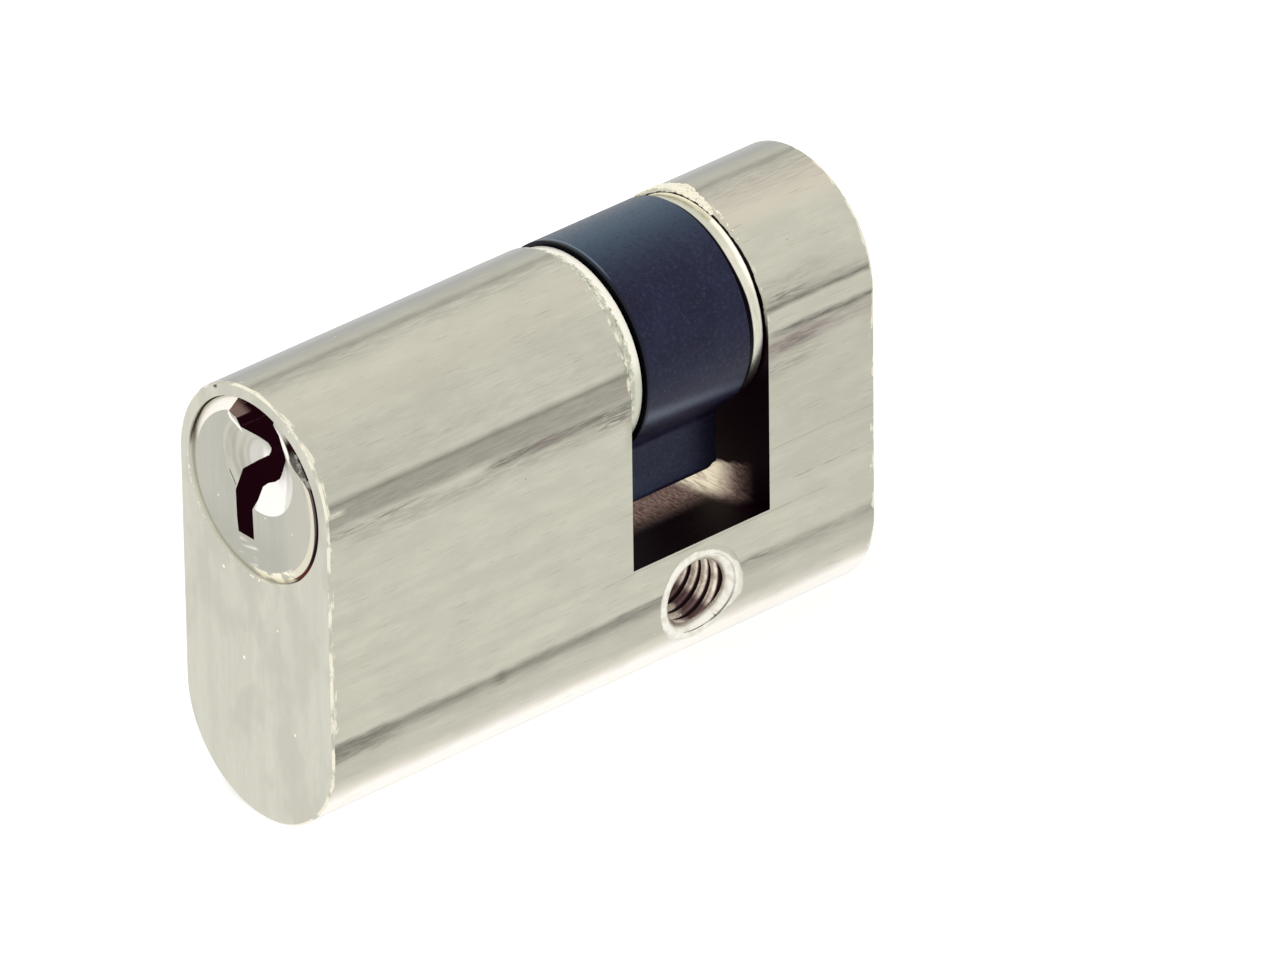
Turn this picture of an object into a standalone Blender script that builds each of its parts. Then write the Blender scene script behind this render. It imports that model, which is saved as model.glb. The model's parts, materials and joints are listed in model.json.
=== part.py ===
"""Oval half cylinder for a mortice lock, modelled piece by piece.

The row's origin is on the fixing screw's axis at the middle of the body's width, where a lock case
holds the cylinder. X is across the body, Y runs from the key side to the rear, and Z is up.
Run it with: blender --background --python part.py
"""
import math

import bmesh
import bpy
from mathutils import Matrix, Vector

# All sizes below are in millimetres; MM turns them into Blender's metres.
MM = 0.001

# Housing
BODY_WIDTH = 15.3
SCREW_TO_FRONT = 32.3
SCREW_TO_REAR = 15.7
EDGE_BREAK = 0.15

# How round shapes are drawn, and how far a cutter reaches past what it cuts
ROUND_SIDES = 96
HOLE_SIDES = 64
PIN_SIDES = 24
OVERSHOOT = 1.0
SHARP_STEP = 0.001

# Hole for the M6 fixing screw, at the thread's outer radius; the thread's turns are in scene.py
SCREW_HOLE_RADIUS = 3.0
COUNTERSINK_RADIUS = 3.6
COUNTERSINK_DEPTH = 0.6

# Cam, its lobe reaching out of the ring towards the screw
CAM_BELOW_BODY = 0.05
CAM_WIDTH = 9.05
LOBE_LENGTH = 4.2
LOBE_HALF_WIDTH = 4.0
LOBE_FILLET = 1.2
LOBE_NOSE_ROUND = 0.6
NOSE_EDGE_ROUND = 0.6
NOSE_BAND = 1.6
CAM_BORE_CLEARANCE = 0.1

# Slot that the cam turns in: metal over the screw hole, room under the lobe, and the floor's hollow
SLOT_FLOOR_WEB = 0.6
LOBE_FLOOR_GAP = 1.7
SLOT_FLOOR_SAG = 0.5
SLOT_FRONT_Y = -5.95
COLLAR_STEP = 0.35
COLLAR_LENGTH = 1.25
CAM_FRONT_GAP = 0.25
CAM_RING_GAP = 0.2
RING_REAR_GAP = 0.15
PILOT_DEPTH = 1.9
PILOT_CLEARANCE = 0.15

# Retaining ring behind the cam
RING_STEP = 0.35
RING_BORE_CLEARANCE = 0.1
RING_THICKNESS = 1.25
RING_GAP_START = 185.0
RING_GAP_END = 245.0

# Plug
BORE_WALL = 0.95
PLUG_CLEARANCE = 0.1
PLUG_PROUD = 0.15
PLUG_CHAMFER = 0.85
PLUG_CHAMFER_DEPTH = 0.45
LEAD_IN_CENTRE = (0.68, 2.3)
LEAD_IN_RADIUS = 3.65
LEAD_IN_FLAT_RADIUS = 1.0
LEAD_IN_DEPTH = 0.9
KEYWAY_END_WEB = 3.38
SHOULDER_GAP = 0.12
TAIL_SHOULDER = 1.1
TAIL_FLAT = 1.0
TAIL_END_GAP = 0.35
TAIL_END_ROUND = 0.3
GROOVE_DEPTH = 0.6
GROOVE_SIDE_GAP = 0.08

# Keyway outline below its open top, from the plug's axis: across and up, clockwise from the left
KEYWAY_TOP_LEFT_X = -1.45
KEYWAY_TOP_RIGHT_X = 1.75
KEYWAY_OUTLINE = (
    (-1.65, 6.26), (-2.13, 5.25), (-1.52, 5.04), (-1.32, 4.27), (-0.61, 4.13), (1.07, 3.91),
    (1.27, 3.59), (0.83, 2.82), (-0.32, 1.92), (-1.36, 1.0), (-1.5, 0.24), (-1.66, -0.63),
    (-1.6, -2.6), (-1.47, -3.69), (0.13, -3.67), (0.04, -1.4), (0.35, -0.61), (0.51, 0.36),
    (0.89, 0.76), (1.57, 1.14), (2.13, 1.63), (2.79, 2.83), (3.5, 3.88), (3.43, 4.64),
    (2.78, 5.44), (2.11, 5.91),
)

# Pin stacks, each under the plug, one for each key pin length
FIRST_PIN_DEPTH = 5.5
PIN_PITCH = 4.0
KEY_PIN_LENGTHS = (4.6, 5.6, 4.1, 6.1, 5.1)
PIN_TO_SLOT_WEB = 3.0
PIN_RADIUS = 1.4
PIN_CLEARANCE = 0.05
PIN_EDGE = 0.3
KEY_PIN_POINT = 0.8
KEY_PIN_TIP_RADIUS = 0.5
KEY_PIN_INSIDE_PLUG = 0.2
PIN_HOLE_ABOVE_AXIS = 1.5
DRIVER_BELOW_PLUG = 0.15
DRIVER_LENGTH = 5.5
SPRING_GAP = 0.06
SPRING_SIDE_GAP = 0.19
SPRING_WIRE_RADIUS = 0.16
SPRING_TURNS = 6
SPRING_STEPS = 10
SPRING_WIRE_SIDES = 5
CHAMBER_PLUG_LENGTH = 2.5
CHAMBER_PLUG_RECESS = 0.17
CHAMBER_PLUG_CLEARANCE = 0.03
CHAMBER_PLUG_TO_SPRING = 0.08

# Worked out from the sizes above: across the body
BODY_RADIUS = BODY_WIDTH / 2
COLLAR_RADIUS = BODY_RADIUS - COLLAR_STEP
RING_OUTER_RADIUS = BODY_RADIUS - RING_STEP
CAM_RING_RADIUS = BODY_RADIUS - CAM_BELOW_BODY
LOBE_REACH = CAM_RING_RADIUS + LOBE_LENGTH
BORE_RADIUS = BODY_RADIUS - BORE_WALL
PLUG_RADIUS = BORE_RADIUS - PLUG_CLEARANCE
TAIL_RADIUS = PLUG_RADIUS - TAIL_SHOULDER
TAIL_HALF_FLAT = TAIL_RADIUS - TAIL_FLAT
GROOVE_RADIUS = TAIL_RADIUS - GROOVE_DEPTH
RING_INNER_RADIUS = GROOVE_RADIUS + RING_BORE_CLEARANCE
PILOT_RADIUS = TAIL_RADIUS + PILOT_CLEARANCE
CHAMBER_RADIUS = PIN_RADIUS + PIN_CLEARANCE
CHAMBER_PLUG_RADIUS = CHAMBER_RADIUS - CHAMBER_PLUG_CLEARANCE
SPRING_COIL_RADIUS = CHAMBER_RADIUS - SPRING_SIDE_GAP - SPRING_WIRE_RADIUS

# Worked out: up from the screw's axis
SLOT_SIDE_Z = COUNTERSINK_RADIUS + SLOT_FLOOR_WEB
AXIS_Z = SLOT_SIDE_Z + LOBE_FLOOR_GAP + LOBE_REACH
PIN_HOLE_TOP_Z = AXIS_Z + PIN_HOLE_ABOVE_AXIS
KEY_PIN_FOOT_Z = AXIS_Z - PLUG_RADIUS + KEY_PIN_INSIDE_PLUG
DRIVER_TOP_Z = AXIS_Z - PLUG_RADIUS - DRIVER_BELOW_PLUG
CHAMBER_PLUG_BOTTOM_Z = CHAMBER_PLUG_RECESS - BODY_RADIUS
SPRING_BOTTOM_Z = CHAMBER_PLUG_BOTTOM_Z + CHAMBER_PLUG_LENGTH + CHAMBER_PLUG_TO_SPRING

# Worked out: along the body
FACE_Y = -SCREW_TO_FRONT - PLUG_PROUD
COLLAR_END_Y = SLOT_FRONT_Y + COLLAR_LENGTH
CAM_FRONT_Y = COLLAR_END_Y + CAM_FRONT_GAP
CAM_REAR_Y = CAM_FRONT_Y + CAM_WIDTH
RING_FRONT_Y = CAM_REAR_Y + CAM_RING_GAP
SLOT_REAR_Y = RING_FRONT_Y + RING_THICKNESS + RING_REAR_GAP
SHOULDER_Y = CAM_FRONT_Y - SHOULDER_GAP
KEYWAY_END_Y = SHOULDER_Y - KEYWAY_END_WEB

# Colours read from the photograph: colour, metallic, roughness
FINISHES = {
    "satin_nickel": ((0.58, 0.56, 0.47), 1.0, 0.36),
    "plug_nickel": ((0.55, 0.55, 0.51), 1.0, 0.3),
    "blackened_steel": ((0.035, 0.04, 0.065), 0.6, 0.42),
    "bright_steel": ((0.82, 0.8, 0.66), 1.0, 0.25),
    "pin_brass": ((0.72, 0.56, 0.3), 1.0, 0.3),
    "spring_bronze": ((0.62, 0.42, 0.24), 1.0, 0.35),
}


def clear_scene():
    """Remove every object that Blender starts with."""
    for obj in list(bpy.data.objects):
        bpy.data.objects.remove(obj, do_unlink=True)


def finish(name):
    """Return the named material, making it on first use."""
    found = bpy.data.materials.get(name)
    if found:
        return found
    colour, metallic, roughness = FINISHES[name]
    material = bpy.data.materials.new(name)
    material.use_nodes = True
    shader = material.node_tree.nodes["Principled BSDF"]
    shader.inputs["Base Color"].default_value = (*colour, 1.0)
    shader.inputs["Metallic"].default_value = metallic
    shader.inputs["Roughness"].default_value = roughness
    material.diffuse_color = (*colour, 1.0)
    return material


def make_object(name, bm, material_name=None, origin=(0.0, 0.0, 0.0)):
    """Turn a bmesh drawn in millimetres into an object whose origin is at origin."""
    centre = Vector(origin)
    bmesh.ops.translate(bm, verts=bm.verts, vec=-centre)
    bmesh.ops.scale(bm, verts=bm.verts, vec=(MM, MM, MM))
    bmesh.ops.recalc_face_normals(bm, faces=bm.faces)
    mesh = bpy.data.meshes.new(name)
    bm.to_mesh(mesh)
    bm.free()
    obj = bpy.data.objects.new(name, mesh)
    bpy.context.scene.collection.objects.link(obj)
    obj.location = centre * MM
    if material_name:
        mesh.materials.append(finish(material_name))
    return obj


def skin_loops(bm, loops):
    """Join equal rings of points into a closed tube, with a flat face at each end."""
    rings = [[bm.verts.new(point) for point in loop] for loop in loops]
    count = len(rings[0])
    for near, far in zip(rings, rings[1:]):
        for i in range(count):
            j = (i + 1) % count
            bm.faces.new((near[i], near[j], far[j], far[i]))
    bm.faces.new(rings[0][::-1])
    bm.faces.new(rings[-1])


def prism(outline, y_values, insets=None):
    """Extrude an (x, z) outline along Y. An inset shrinks the outline's rounds at that station."""
    bm = bmesh.new()
    loops = []
    for index, y in enumerate(y_values):
        points = outline(insets[index]) if insets else outline
        loops.append([(x, y, z) for x, z in points])
    skin_loops(bm, loops)
    return bm


def turned(profile, sides, centre=(0.0, 0.0), along="Y"):
    """Revolve (position, radius) pairs about a line parallel to Y or Z through centre."""
    bm = bmesh.new()
    loops = []
    for position, radius in profile:
        loop = []
        for i in range(sides):
            angle = 2 * math.pi * i / sides
            across = radius * math.cos(angle)
            up = radius * math.sin(angle)
            if along == "Y":
                loop.append((centre[0] + across, position, centre[1] + up))
            else:
                loop.append((centre[0] + across, centre[1] + up, position))
        loops.append(loop)
    skin_loops(bm, loops)
    return bm


def cutter(name, bm, origin=(0.0, 0.0, 0.0)):
    """Make an object that only cuts: it is drawn as wire and never rendered."""
    obj = make_object(name, bm, origin=origin)
    obj.display_type = "WIRE"
    obj.hide_render = True
    return obj


def cut(target, tool, operation="DIFFERENCE"):
    """Add a live boolean to target, and keep the tool under it."""
    modifier = target.modifiers.new(tool.name, "BOOLEAN")
    modifier.operation = operation
    modifier.solver = "EXACT"
    modifier.object = tool
    tool.parent = target
    tool.matrix_parent_inverse = Matrix.Translation(-target.location)


def oval(inset=0.0):
    """The body's section: two half rounds joined by flat sides."""
    radius = BODY_RADIUS - inset
    half = ROUND_SIDES // 2
    points = []
    for centre_z, start in ((AXIS_Z, 0.0), (0.0, math.pi)):
        for i in range(half + 1):
            angle = start + math.pi * i / half
            points.append((radius * math.cos(angle), centre_z + radius * math.sin(angle)))
    return points


def slot_outline():
    """The slot's section across the body, with the milled floor slightly hollow."""
    half = BODY_RADIUS + OVERSHOOT
    sag = SLOT_FLOOR_SAG
    radius = (BODY_RADIUS ** 2 + sag ** 2) / (2 * sag)
    steps = 24
    floor = []
    for i in range(steps + 1):
        x = -half + 2 * half * i / steps
        floor.append((x, SLOT_SIDE_Z - sag + radius - math.sqrt(radius ** 2 - x ** 2)))
    top = AXIS_Z + BODY_RADIUS + OVERSHOOT
    return floor + [(half, top), (-half, top)]


def pin_places():
    """Where the pin stacks stand along the body: as many as fit between the face and the slot."""
    first = -SCREW_TO_FRONT + FIRST_PIN_DEPTH
    last = SLOT_FRONT_Y - PIN_TO_SLOT_WEB - CHAMBER_RADIUS
    count = int((last - first) / PIN_PITCH) + 1
    return [first + PIN_PITCH * i for i in range(count)]


def screw_hole_tool():
    """A rod along X that widens into a cone at each side of the body, for the fixing screw's hole."""
    slope = (COUNTERSINK_RADIUS - SCREW_HOLE_RADIUS) / COUNTERSINK_DEPTH
    neck = BODY_RADIUS - COUNTERSINK_DEPTH
    mouth = BODY_RADIUS + OVERSHOOT
    wide = COUNTERSINK_RADIUS + OVERSHOOT * slope
    bm = turned(
        (
            (-mouth, wide),
            (-neck, SCREW_HOLE_RADIUS),
            (neck, SCREW_HOLE_RADIUS),
            (mouth, wide),
        ),
        HOLE_SIDES,
        along="Z",
    )
    bmesh.ops.rotate(bm, verts=bm.verts, cent=(0, 0, 0), matrix=Matrix.Rotation(math.pi / 2, 3, "Y"))
    return bm


def build_body():
    """The housing, with its bore, slot, collar, screw hole and pin chambers."""
    rear = SCREW_TO_REAR
    front = -SCREW_TO_FRONT
    stations = (front, front + EDGE_BREAK, rear - EDGE_BREAK, rear)
    body = make_object("body", prism(oval, stations, (EDGE_BREAK, 0.0, 0.0, EDGE_BREAK)), "satin_nickel")

    slot = cutter("slot_cutter", prism(slot_outline(), (SLOT_FRONT_Y, SLOT_REAR_Y)))
    collar = cutter(
        "collar_keeper",
        turned(
            ((SLOT_FRONT_Y - OVERSHOOT, COLLAR_RADIUS), (COLLAR_END_Y, COLLAR_RADIUS)),
            ROUND_SIDES,
            (0, AXIS_Z),
        ),
    )
    cut(slot, collar)
    cut(body, slot)
    bore = ((front - OVERSHOOT, BORE_RADIUS), (COLLAR_END_Y + OVERSHOOT, BORE_RADIUS))
    cut(body, cutter("bore_cutter", turned(bore, ROUND_SIDES, (0, AXIS_Z))))
    pilot = ((SLOT_REAR_Y - OVERSHOOT, PILOT_RADIUS), (SLOT_REAR_Y + PILOT_DEPTH, PILOT_RADIUS))
    cut(body, cutter("pilot_cutter", turned(pilot, HOLE_SIDES, (0, AXIS_Z))))
    chamber = ((-BODY_RADIUS - OVERSHOOT, CHAMBER_RADIUS), (AXIS_Z - PLUG_RADIUS + OVERSHOOT, CHAMBER_RADIUS))
    for number, y in enumerate(pin_places(), 1):
        cut(body, cutter(f"chamber_cutter_{number}", turned(chamber, PIN_SIDES, (0, y), "Z")))
    cut(body, cutter("screw_hole_cutter", screw_hole_tool()))
    return body


def flat_sided(radius, half_flat, sides):
    """An (x, z) outline round the plug's axis with two flats, left and right."""
    points = []
    for i in range(sides):
        angle = 2 * math.pi * (i + 0.5) / sides
        x = max(-half_flat, min(half_flat, radius * math.cos(angle)))
        points.append((x, AXIS_Z + radius * math.sin(angle)))
    return points


def keyway_outline():
    """The keyway's (x, z) outline, open at the top of the plug."""
    top = PLUG_RADIUS + OVERSHOOT
    points = [(KEYWAY_TOP_LEFT_X, top), *KEYWAY_OUTLINE, (KEYWAY_TOP_RIGHT_X, top)]
    return [(x, AXIS_Z + z) for x, z in points]


def plug_profile():
    """The plug's turned profile: chamfered face, barrel, tail with a ring groove, eased end."""
    groove_front = RING_FRONT_Y - GROOVE_SIDE_GAP
    groove_rear = RING_FRONT_Y + RING_THICKNESS + GROOVE_SIDE_GAP
    tail_end = SLOT_REAR_Y + PILOT_DEPTH - TAIL_END_GAP
    return (
        (FACE_Y, PLUG_RADIUS - PLUG_CHAMFER),
        (FACE_Y + PLUG_CHAMFER_DEPTH, PLUG_RADIUS),
        (SHOULDER_Y, PLUG_RADIUS),
        (SHOULDER_Y + SHARP_STEP, TAIL_RADIUS),
        (groove_front, TAIL_RADIUS),
        (groove_front + SHARP_STEP, GROOVE_RADIUS),
        (groove_rear, GROOVE_RADIUS),
        (groove_rear + SHARP_STEP, TAIL_RADIUS),
        (tail_end - TAIL_END_ROUND, TAIL_RADIUS),
        (tail_end, TAIL_RADIUS - TAIL_END_ROUND),
    )


def build_plug():
    """The plug: chamfered face, keyway, lead-in, pin holes, flatted tail and ring groove."""
    blank = turned(plug_profile(), ROUND_SIDES, (0, AXIS_Z))
    plug = make_object("plug", blank, "plug_nickel", (0, 0, AXIS_Z))

    across, up = LEAD_IN_CENTRE
    slope = (LEAD_IN_RADIUS - LEAD_IN_FLAT_RADIUS) / LEAD_IN_DEPTH
    lead_in = (
        (FACE_Y - OVERSHOOT, LEAD_IN_RADIUS + slope * OVERSHOOT),
        (FACE_Y + LEAD_IN_DEPTH, LEAD_IN_FLAT_RADIUS),
    )
    cut(plug, cutter("lead_in_cutter", turned(lead_in, 72, (across, AXIS_Z + up))))
    cut(plug, cutter("keyway_cutter", prism(keyway_outline(), (FACE_Y - OVERSHOOT, KEYWAY_END_Y))))
    pin_hole = ((AXIS_Z - PLUG_RADIUS - OVERSHOOT, CHAMBER_RADIUS), (PIN_HOLE_TOP_Z, CHAMBER_RADIUS))
    for number, y in enumerate(pin_places(), 1):
        cut(plug, cutter(f"pin_hole_cutter_{number}", turned(pin_hole, PIN_SIDES, (0, y), "Z")))
    near = TAIL_HALF_FLAT
    far = PLUG_RADIUS + OVERSHOOT
    low = AXIS_Z - PLUG_RADIUS
    high = AXIS_Z + PLUG_RADIUS
    ends = (SHOULDER_Y + SHARP_STEP / 2, RING_FRONT_Y - GROOVE_SIDE_GAP)
    for side, name in ((1, "right"), (-1, "left")):
        outline = [(side * near, low), (side * far, low), (side * far, high), (side * near, high)]
        cut(plug, cutter(f"flat_cutter_{name}", prism(outline, ends)))
    return plug


def cam_outline():
    """The cam's outer outline: ring, a hollow fillet on each side, and the lobe's rounded nose."""
    ring, half, reach, fillet = CAM_RING_RADIUS, LOBE_HALF_WIDTH, LOBE_REACH, LOBE_FILLET
    drop = math.sqrt((ring + fillet) ** 2 - (half + fillet) ** 2)
    centre = (half + fillet, -drop)
    touch = math.atan2(centre[1], centre[0])
    points = []
    steps = 72
    start = touch
    end = math.pi - touch
    for i in range(steps + 1):
        angle = start + (end - start) * i / steps
        points.append((ring * math.cos(angle), ring * math.sin(angle)))
    left_fillet = []
    fillet_steps = 6
    for i in range(1, fillet_steps + 1):
        angle = (math.pi + touch) + (math.pi - (math.pi + touch)) * i / fillet_steps
        left_fillet.append((centre[0] + fillet * math.cos(angle), centre[1] + fillet * math.sin(angle)))
    points += [(-x, z) for x, z in left_fillet]
    nose_round = LOBE_NOSE_ROUND
    nose_centre_x = half - nose_round
    nose_centre_z = -math.sqrt((reach - nose_round) ** 2 - nose_centre_x ** 2)
    nose_touch = math.atan2(nose_centre_z, nose_centre_x)
    right_nose = []
    for i in range(5):
        angle = nose_touch * (1 - i / 4)
        x = nose_centre_x + nose_round * math.cos(angle)
        right_nose.append((x, nose_centre_z + nose_round * math.sin(angle)))
    points += [(-x, z) for x, z in right_nose[::-1]]
    nose_steps = 12
    for i in range(1, nose_steps):
        angle = (-math.pi - nose_touch) + (2 * nose_touch + math.pi) * i / nose_steps
        points.append((reach * math.cos(angle), reach * math.sin(angle)))
    points += right_nose
    points += left_fillet[::-1]
    return [(x, AXIS_Z + z) for x, z in points]


def build_cam():
    """The cam: a ring with one lobe, its nose edges rounded and its bore flatted to fit the tail."""
    bm = prism(cam_outline(), (CAM_FRONT_Y, CAM_REAR_Y))
    nose_edges = []
    for edge in bm.edges:
        a, b = (vert.co for vert in edge.verts)
        same_end = abs(a.y - b.y) < 1e-6
        low = max(a.z, b.z) < AXIS_Z - LOBE_REACH + NOSE_BAND
        if same_end and low and len(edge.link_faces) == 2:
            nose_edges.append(edge)
    bmesh.ops.bevel(bm, geom=nose_edges, offset=NOSE_EDGE_ROUND, segments=3, profile=0.5, affect="EDGES")
    cam = make_object("cam", bm, "blackened_steel", (0, 0, AXIS_Z))
    outline = flat_sided(TAIL_RADIUS + CAM_BORE_CLEARANCE, TAIL_HALF_FLAT + CAM_BORE_CLEARANCE, 64)
    cut(cam, cutter("cam_bore_cutter", prism(outline, (CAM_FRONT_Y - OVERSHOOT, CAM_REAR_Y + OVERSHOOT))))
    return cam


def build_ring():
    """The open retaining ring in the tail's groove, its gap down on the left."""
    start = math.radians(RING_GAP_END - 360)
    end = math.radians(RING_GAP_START)
    steps = 60
    outer = []
    inner = []
    for i in range(steps + 1):
        angle = start + (end - start) * i / steps
        outer.append((RING_OUTER_RADIUS * math.cos(angle), AXIS_Z + RING_OUTER_RADIUS * math.sin(angle)))
        inner.append((RING_INNER_RADIUS * math.cos(angle), AXIS_Z + RING_INNER_RADIUS * math.sin(angle)))
    outline = outer + inner[::-1]
    bm = prism(outline, (RING_FRONT_Y, RING_FRONT_Y + RING_THICKNESS))
    return make_object("retaining_ring", bm, "bright_steel", (0, 0, AXIS_Z))


def build_spring(number, y, top_z):
    """One pin spring as a closed coil of round wire."""
    bm = bmesh.new()
    steps = SPRING_TURNS * SPRING_STEPS
    low = SPRING_BOTTOM_Z + SPRING_WIRE_RADIUS
    rise = top_z - SPRING_WIRE_RADIUS - low
    loops = []
    for step in range(steps + 1):
        angle = 2 * math.pi * step / SPRING_STEPS
        height = low + rise * step / steps
        loop = []
        for side in range(SPRING_WIRE_SIDES):
            turn = 2 * math.pi * side / SPRING_WIRE_SIDES
            radius = SPRING_COIL_RADIUS + SPRING_WIRE_RADIUS * math.cos(turn)
            loop.append((
                radius * math.cos(angle),
                y + radius * math.sin(angle),
                height + SPRING_WIRE_RADIUS * math.sin(turn),
            ))
        loops.append(loop)
    skin_loops(bm, loops)
    return make_object(f"spring_{number}", bm, "spring_bronze", (0, y, SPRING_BOTTOM_Z))


def build_pin_stack(number, y, key_pin_length):
    """One chamber's key pin, driver pin, spring and closing plug."""
    foot = KEY_PIN_FOOT_Z
    tip = foot + key_pin_length
    key_pin = turned(
        (
            (foot, PIN_RADIUS - PIN_EDGE),
            (foot + PIN_EDGE, PIN_RADIUS),
            (tip - KEY_PIN_POINT, PIN_RADIUS),
            (tip, KEY_PIN_TIP_RADIUS),
        ),
        PIN_SIDES, (0, y), "Z")
    driver_foot = DRIVER_TOP_Z - DRIVER_LENGTH
    driver = turned(
        (
            (driver_foot, PIN_RADIUS - PIN_EDGE),
            (driver_foot + PIN_EDGE, PIN_RADIUS),
            (DRIVER_TOP_Z - PIN_EDGE, PIN_RADIUS),
            (DRIVER_TOP_Z, PIN_RADIUS - PIN_EDGE),
        ),
        PIN_SIDES, (0, y), "Z")
    bottom = CHAMBER_PLUG_BOTTOM_Z
    stopper = turned(
        ((bottom, CHAMBER_PLUG_RADIUS), (bottom + CHAMBER_PLUG_LENGTH, CHAMBER_PLUG_RADIUS)),
        PIN_SIDES, (0, y), "Z")
    return [
        make_object(f"key_pin_{number}", key_pin, "pin_brass", (0, y, foot)),
        make_object(f"driver_pin_{number}", driver, "pin_brass", (0, y, driver_foot)),
        build_spring(number, y, driver_foot - SPRING_GAP),
        make_object(f"chamber_plug_{number}", stopper, "pin_brass", (0, y, bottom)),
    ]


def place_under(child, parent):
    """Parent child to parent without moving it."""
    child.parent = parent
    child.matrix_parent_inverse = Matrix.Translation(-parent.location)


def main():
    """Build the cylinder."""
    clear_scene()
    body = build_body()
    turning = bpy.data.objects.new("plug_turn_axis", None)
    bpy.context.scene.collection.objects.link(turning)
    turning.location = (0, 0, AXIS_Z * MM)
    turning.empty_display_size = 0.01
    for piece in (build_plug(), build_cam(), build_ring()):
        place_under(piece, turning)
    for index, y in enumerate(pin_places()):
        length = KEY_PIN_LENGTHS[index % len(KEY_PIN_LENGTHS)]
        stack = build_pin_stack(index + 1, y, length)
        place_under(stack[0], turning)
        for piece in stack[1:]:
            place_under(piece, body)


if __name__ == "__main__":
    main()
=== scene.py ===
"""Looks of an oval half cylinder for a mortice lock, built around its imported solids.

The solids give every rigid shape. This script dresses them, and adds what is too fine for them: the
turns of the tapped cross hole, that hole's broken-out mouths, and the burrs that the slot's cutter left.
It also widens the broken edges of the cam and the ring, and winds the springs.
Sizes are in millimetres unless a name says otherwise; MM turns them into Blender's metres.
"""

import json
import logging
import math
import random
from dataclasses import dataclass, field
from enum import Enum
from typing import Any, Sequence

import bmesh
import bpy
from mathutils import Euler, Matrix, Vector

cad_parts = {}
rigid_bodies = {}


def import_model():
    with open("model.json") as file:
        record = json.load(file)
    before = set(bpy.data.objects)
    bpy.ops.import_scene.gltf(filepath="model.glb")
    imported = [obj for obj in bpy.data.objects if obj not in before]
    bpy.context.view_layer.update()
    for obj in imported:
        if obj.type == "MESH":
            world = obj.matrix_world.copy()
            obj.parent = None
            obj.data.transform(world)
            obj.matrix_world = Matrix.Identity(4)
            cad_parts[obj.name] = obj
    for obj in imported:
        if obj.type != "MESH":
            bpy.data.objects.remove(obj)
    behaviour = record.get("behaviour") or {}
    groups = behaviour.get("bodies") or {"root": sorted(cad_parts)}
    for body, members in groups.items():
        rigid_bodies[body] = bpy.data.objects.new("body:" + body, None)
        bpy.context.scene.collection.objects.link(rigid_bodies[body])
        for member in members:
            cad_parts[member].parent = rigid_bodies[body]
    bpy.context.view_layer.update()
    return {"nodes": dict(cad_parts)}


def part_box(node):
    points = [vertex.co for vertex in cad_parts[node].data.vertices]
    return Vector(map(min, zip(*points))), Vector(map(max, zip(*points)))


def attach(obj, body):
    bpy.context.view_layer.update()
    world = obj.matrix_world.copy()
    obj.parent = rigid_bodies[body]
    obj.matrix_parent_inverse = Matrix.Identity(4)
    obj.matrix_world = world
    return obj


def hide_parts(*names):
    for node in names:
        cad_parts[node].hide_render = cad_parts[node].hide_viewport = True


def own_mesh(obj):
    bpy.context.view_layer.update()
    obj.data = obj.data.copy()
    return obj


LOG = logging.getLogger("oval_half_cylinder")
MM = 0.001

Colour = tuple[float, float, float]


def clear_start_scene() -> None:
    """Remove whatever objects Blender starts with."""
    for obj in list(bpy.data.objects):
        bpy.data.objects.remove(obj, do_unlink=True)


clear_start_scene()
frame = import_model()


def box_mm(node: str) -> tuple[Vector, Vector]:
    """Return a solid's lowest and highest corner in millimetres."""
    low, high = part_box(node)
    return low / MM, high / MM


BODY_LOW, BODY_HIGH = box_mm("body")
PLUG_LOW, PLUG_HIGH = box_mm("plug")
CAM_LOW, CAM_HIGH = box_mm("cam")
BODY_RADIUS = (BODY_HIGH.x - BODY_LOW.x) / 2
AXIS_Z = BODY_HIGH.z - BODY_RADIUS
FRONT_Y = BODY_LOW.y
REAR_Y = BODY_HIGH.y
FACE_Y = PLUG_LOW.y
PLUG_RADIUS = (PLUG_HIGH.x - PLUG_LOW.x) / 2

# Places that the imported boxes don't give, as in the solids: the slot's cheeks, the collar, the cross hole,
# the plug's chamfer and lead-in, and the bore
SLOT_FRONT_Y = -5.95
SLOT_REAR_Y = 6.2
COLLAR_RADIUS = 7.3
COLLAR_LENGTH = 1.25
SCREW_HOLE_RADIUS = 3.0
COUNTERSINK_RADIUS = 3.6
COUNTERSINK_DEPTH = 0.6
PLUG_CHAMFER = 0.85
LEAD_IN_X = 0.68
LEAD_IN_Z = 2.3
LEAD_IN_RADIUS = 3.65
BORE_RADIUS = 6.7
SHARP_EDGE = 40  # degrees, above which an edge is broken

BLACK = (0.0, 0.0, 0.0)
NUMBER = "NodeSocketFloat"
WHOLE = "NodeSocketInt"
VECTOR = "NodeSocketVector"
MATERIAL = "NodeSocketMaterial"


def srgb(red: int, green: int, blue: int) -> Colour:
    """Turn a colour into Blender's linear values.

    Args:
        red: 0 to 255.
        green: 0 to 255.
        blue: 0 to 255.

    Returns:
        The three channels in linear light.
    """

    def linear(value: int) -> float:
        """Return one channel in linear light."""
        share = value / 255
        return share / 12.92 if share <= 0.04045 else ((share + 0.055) / 1.055) ** 2.4

    return linear(red), linear(green), linear(blue)


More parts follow.
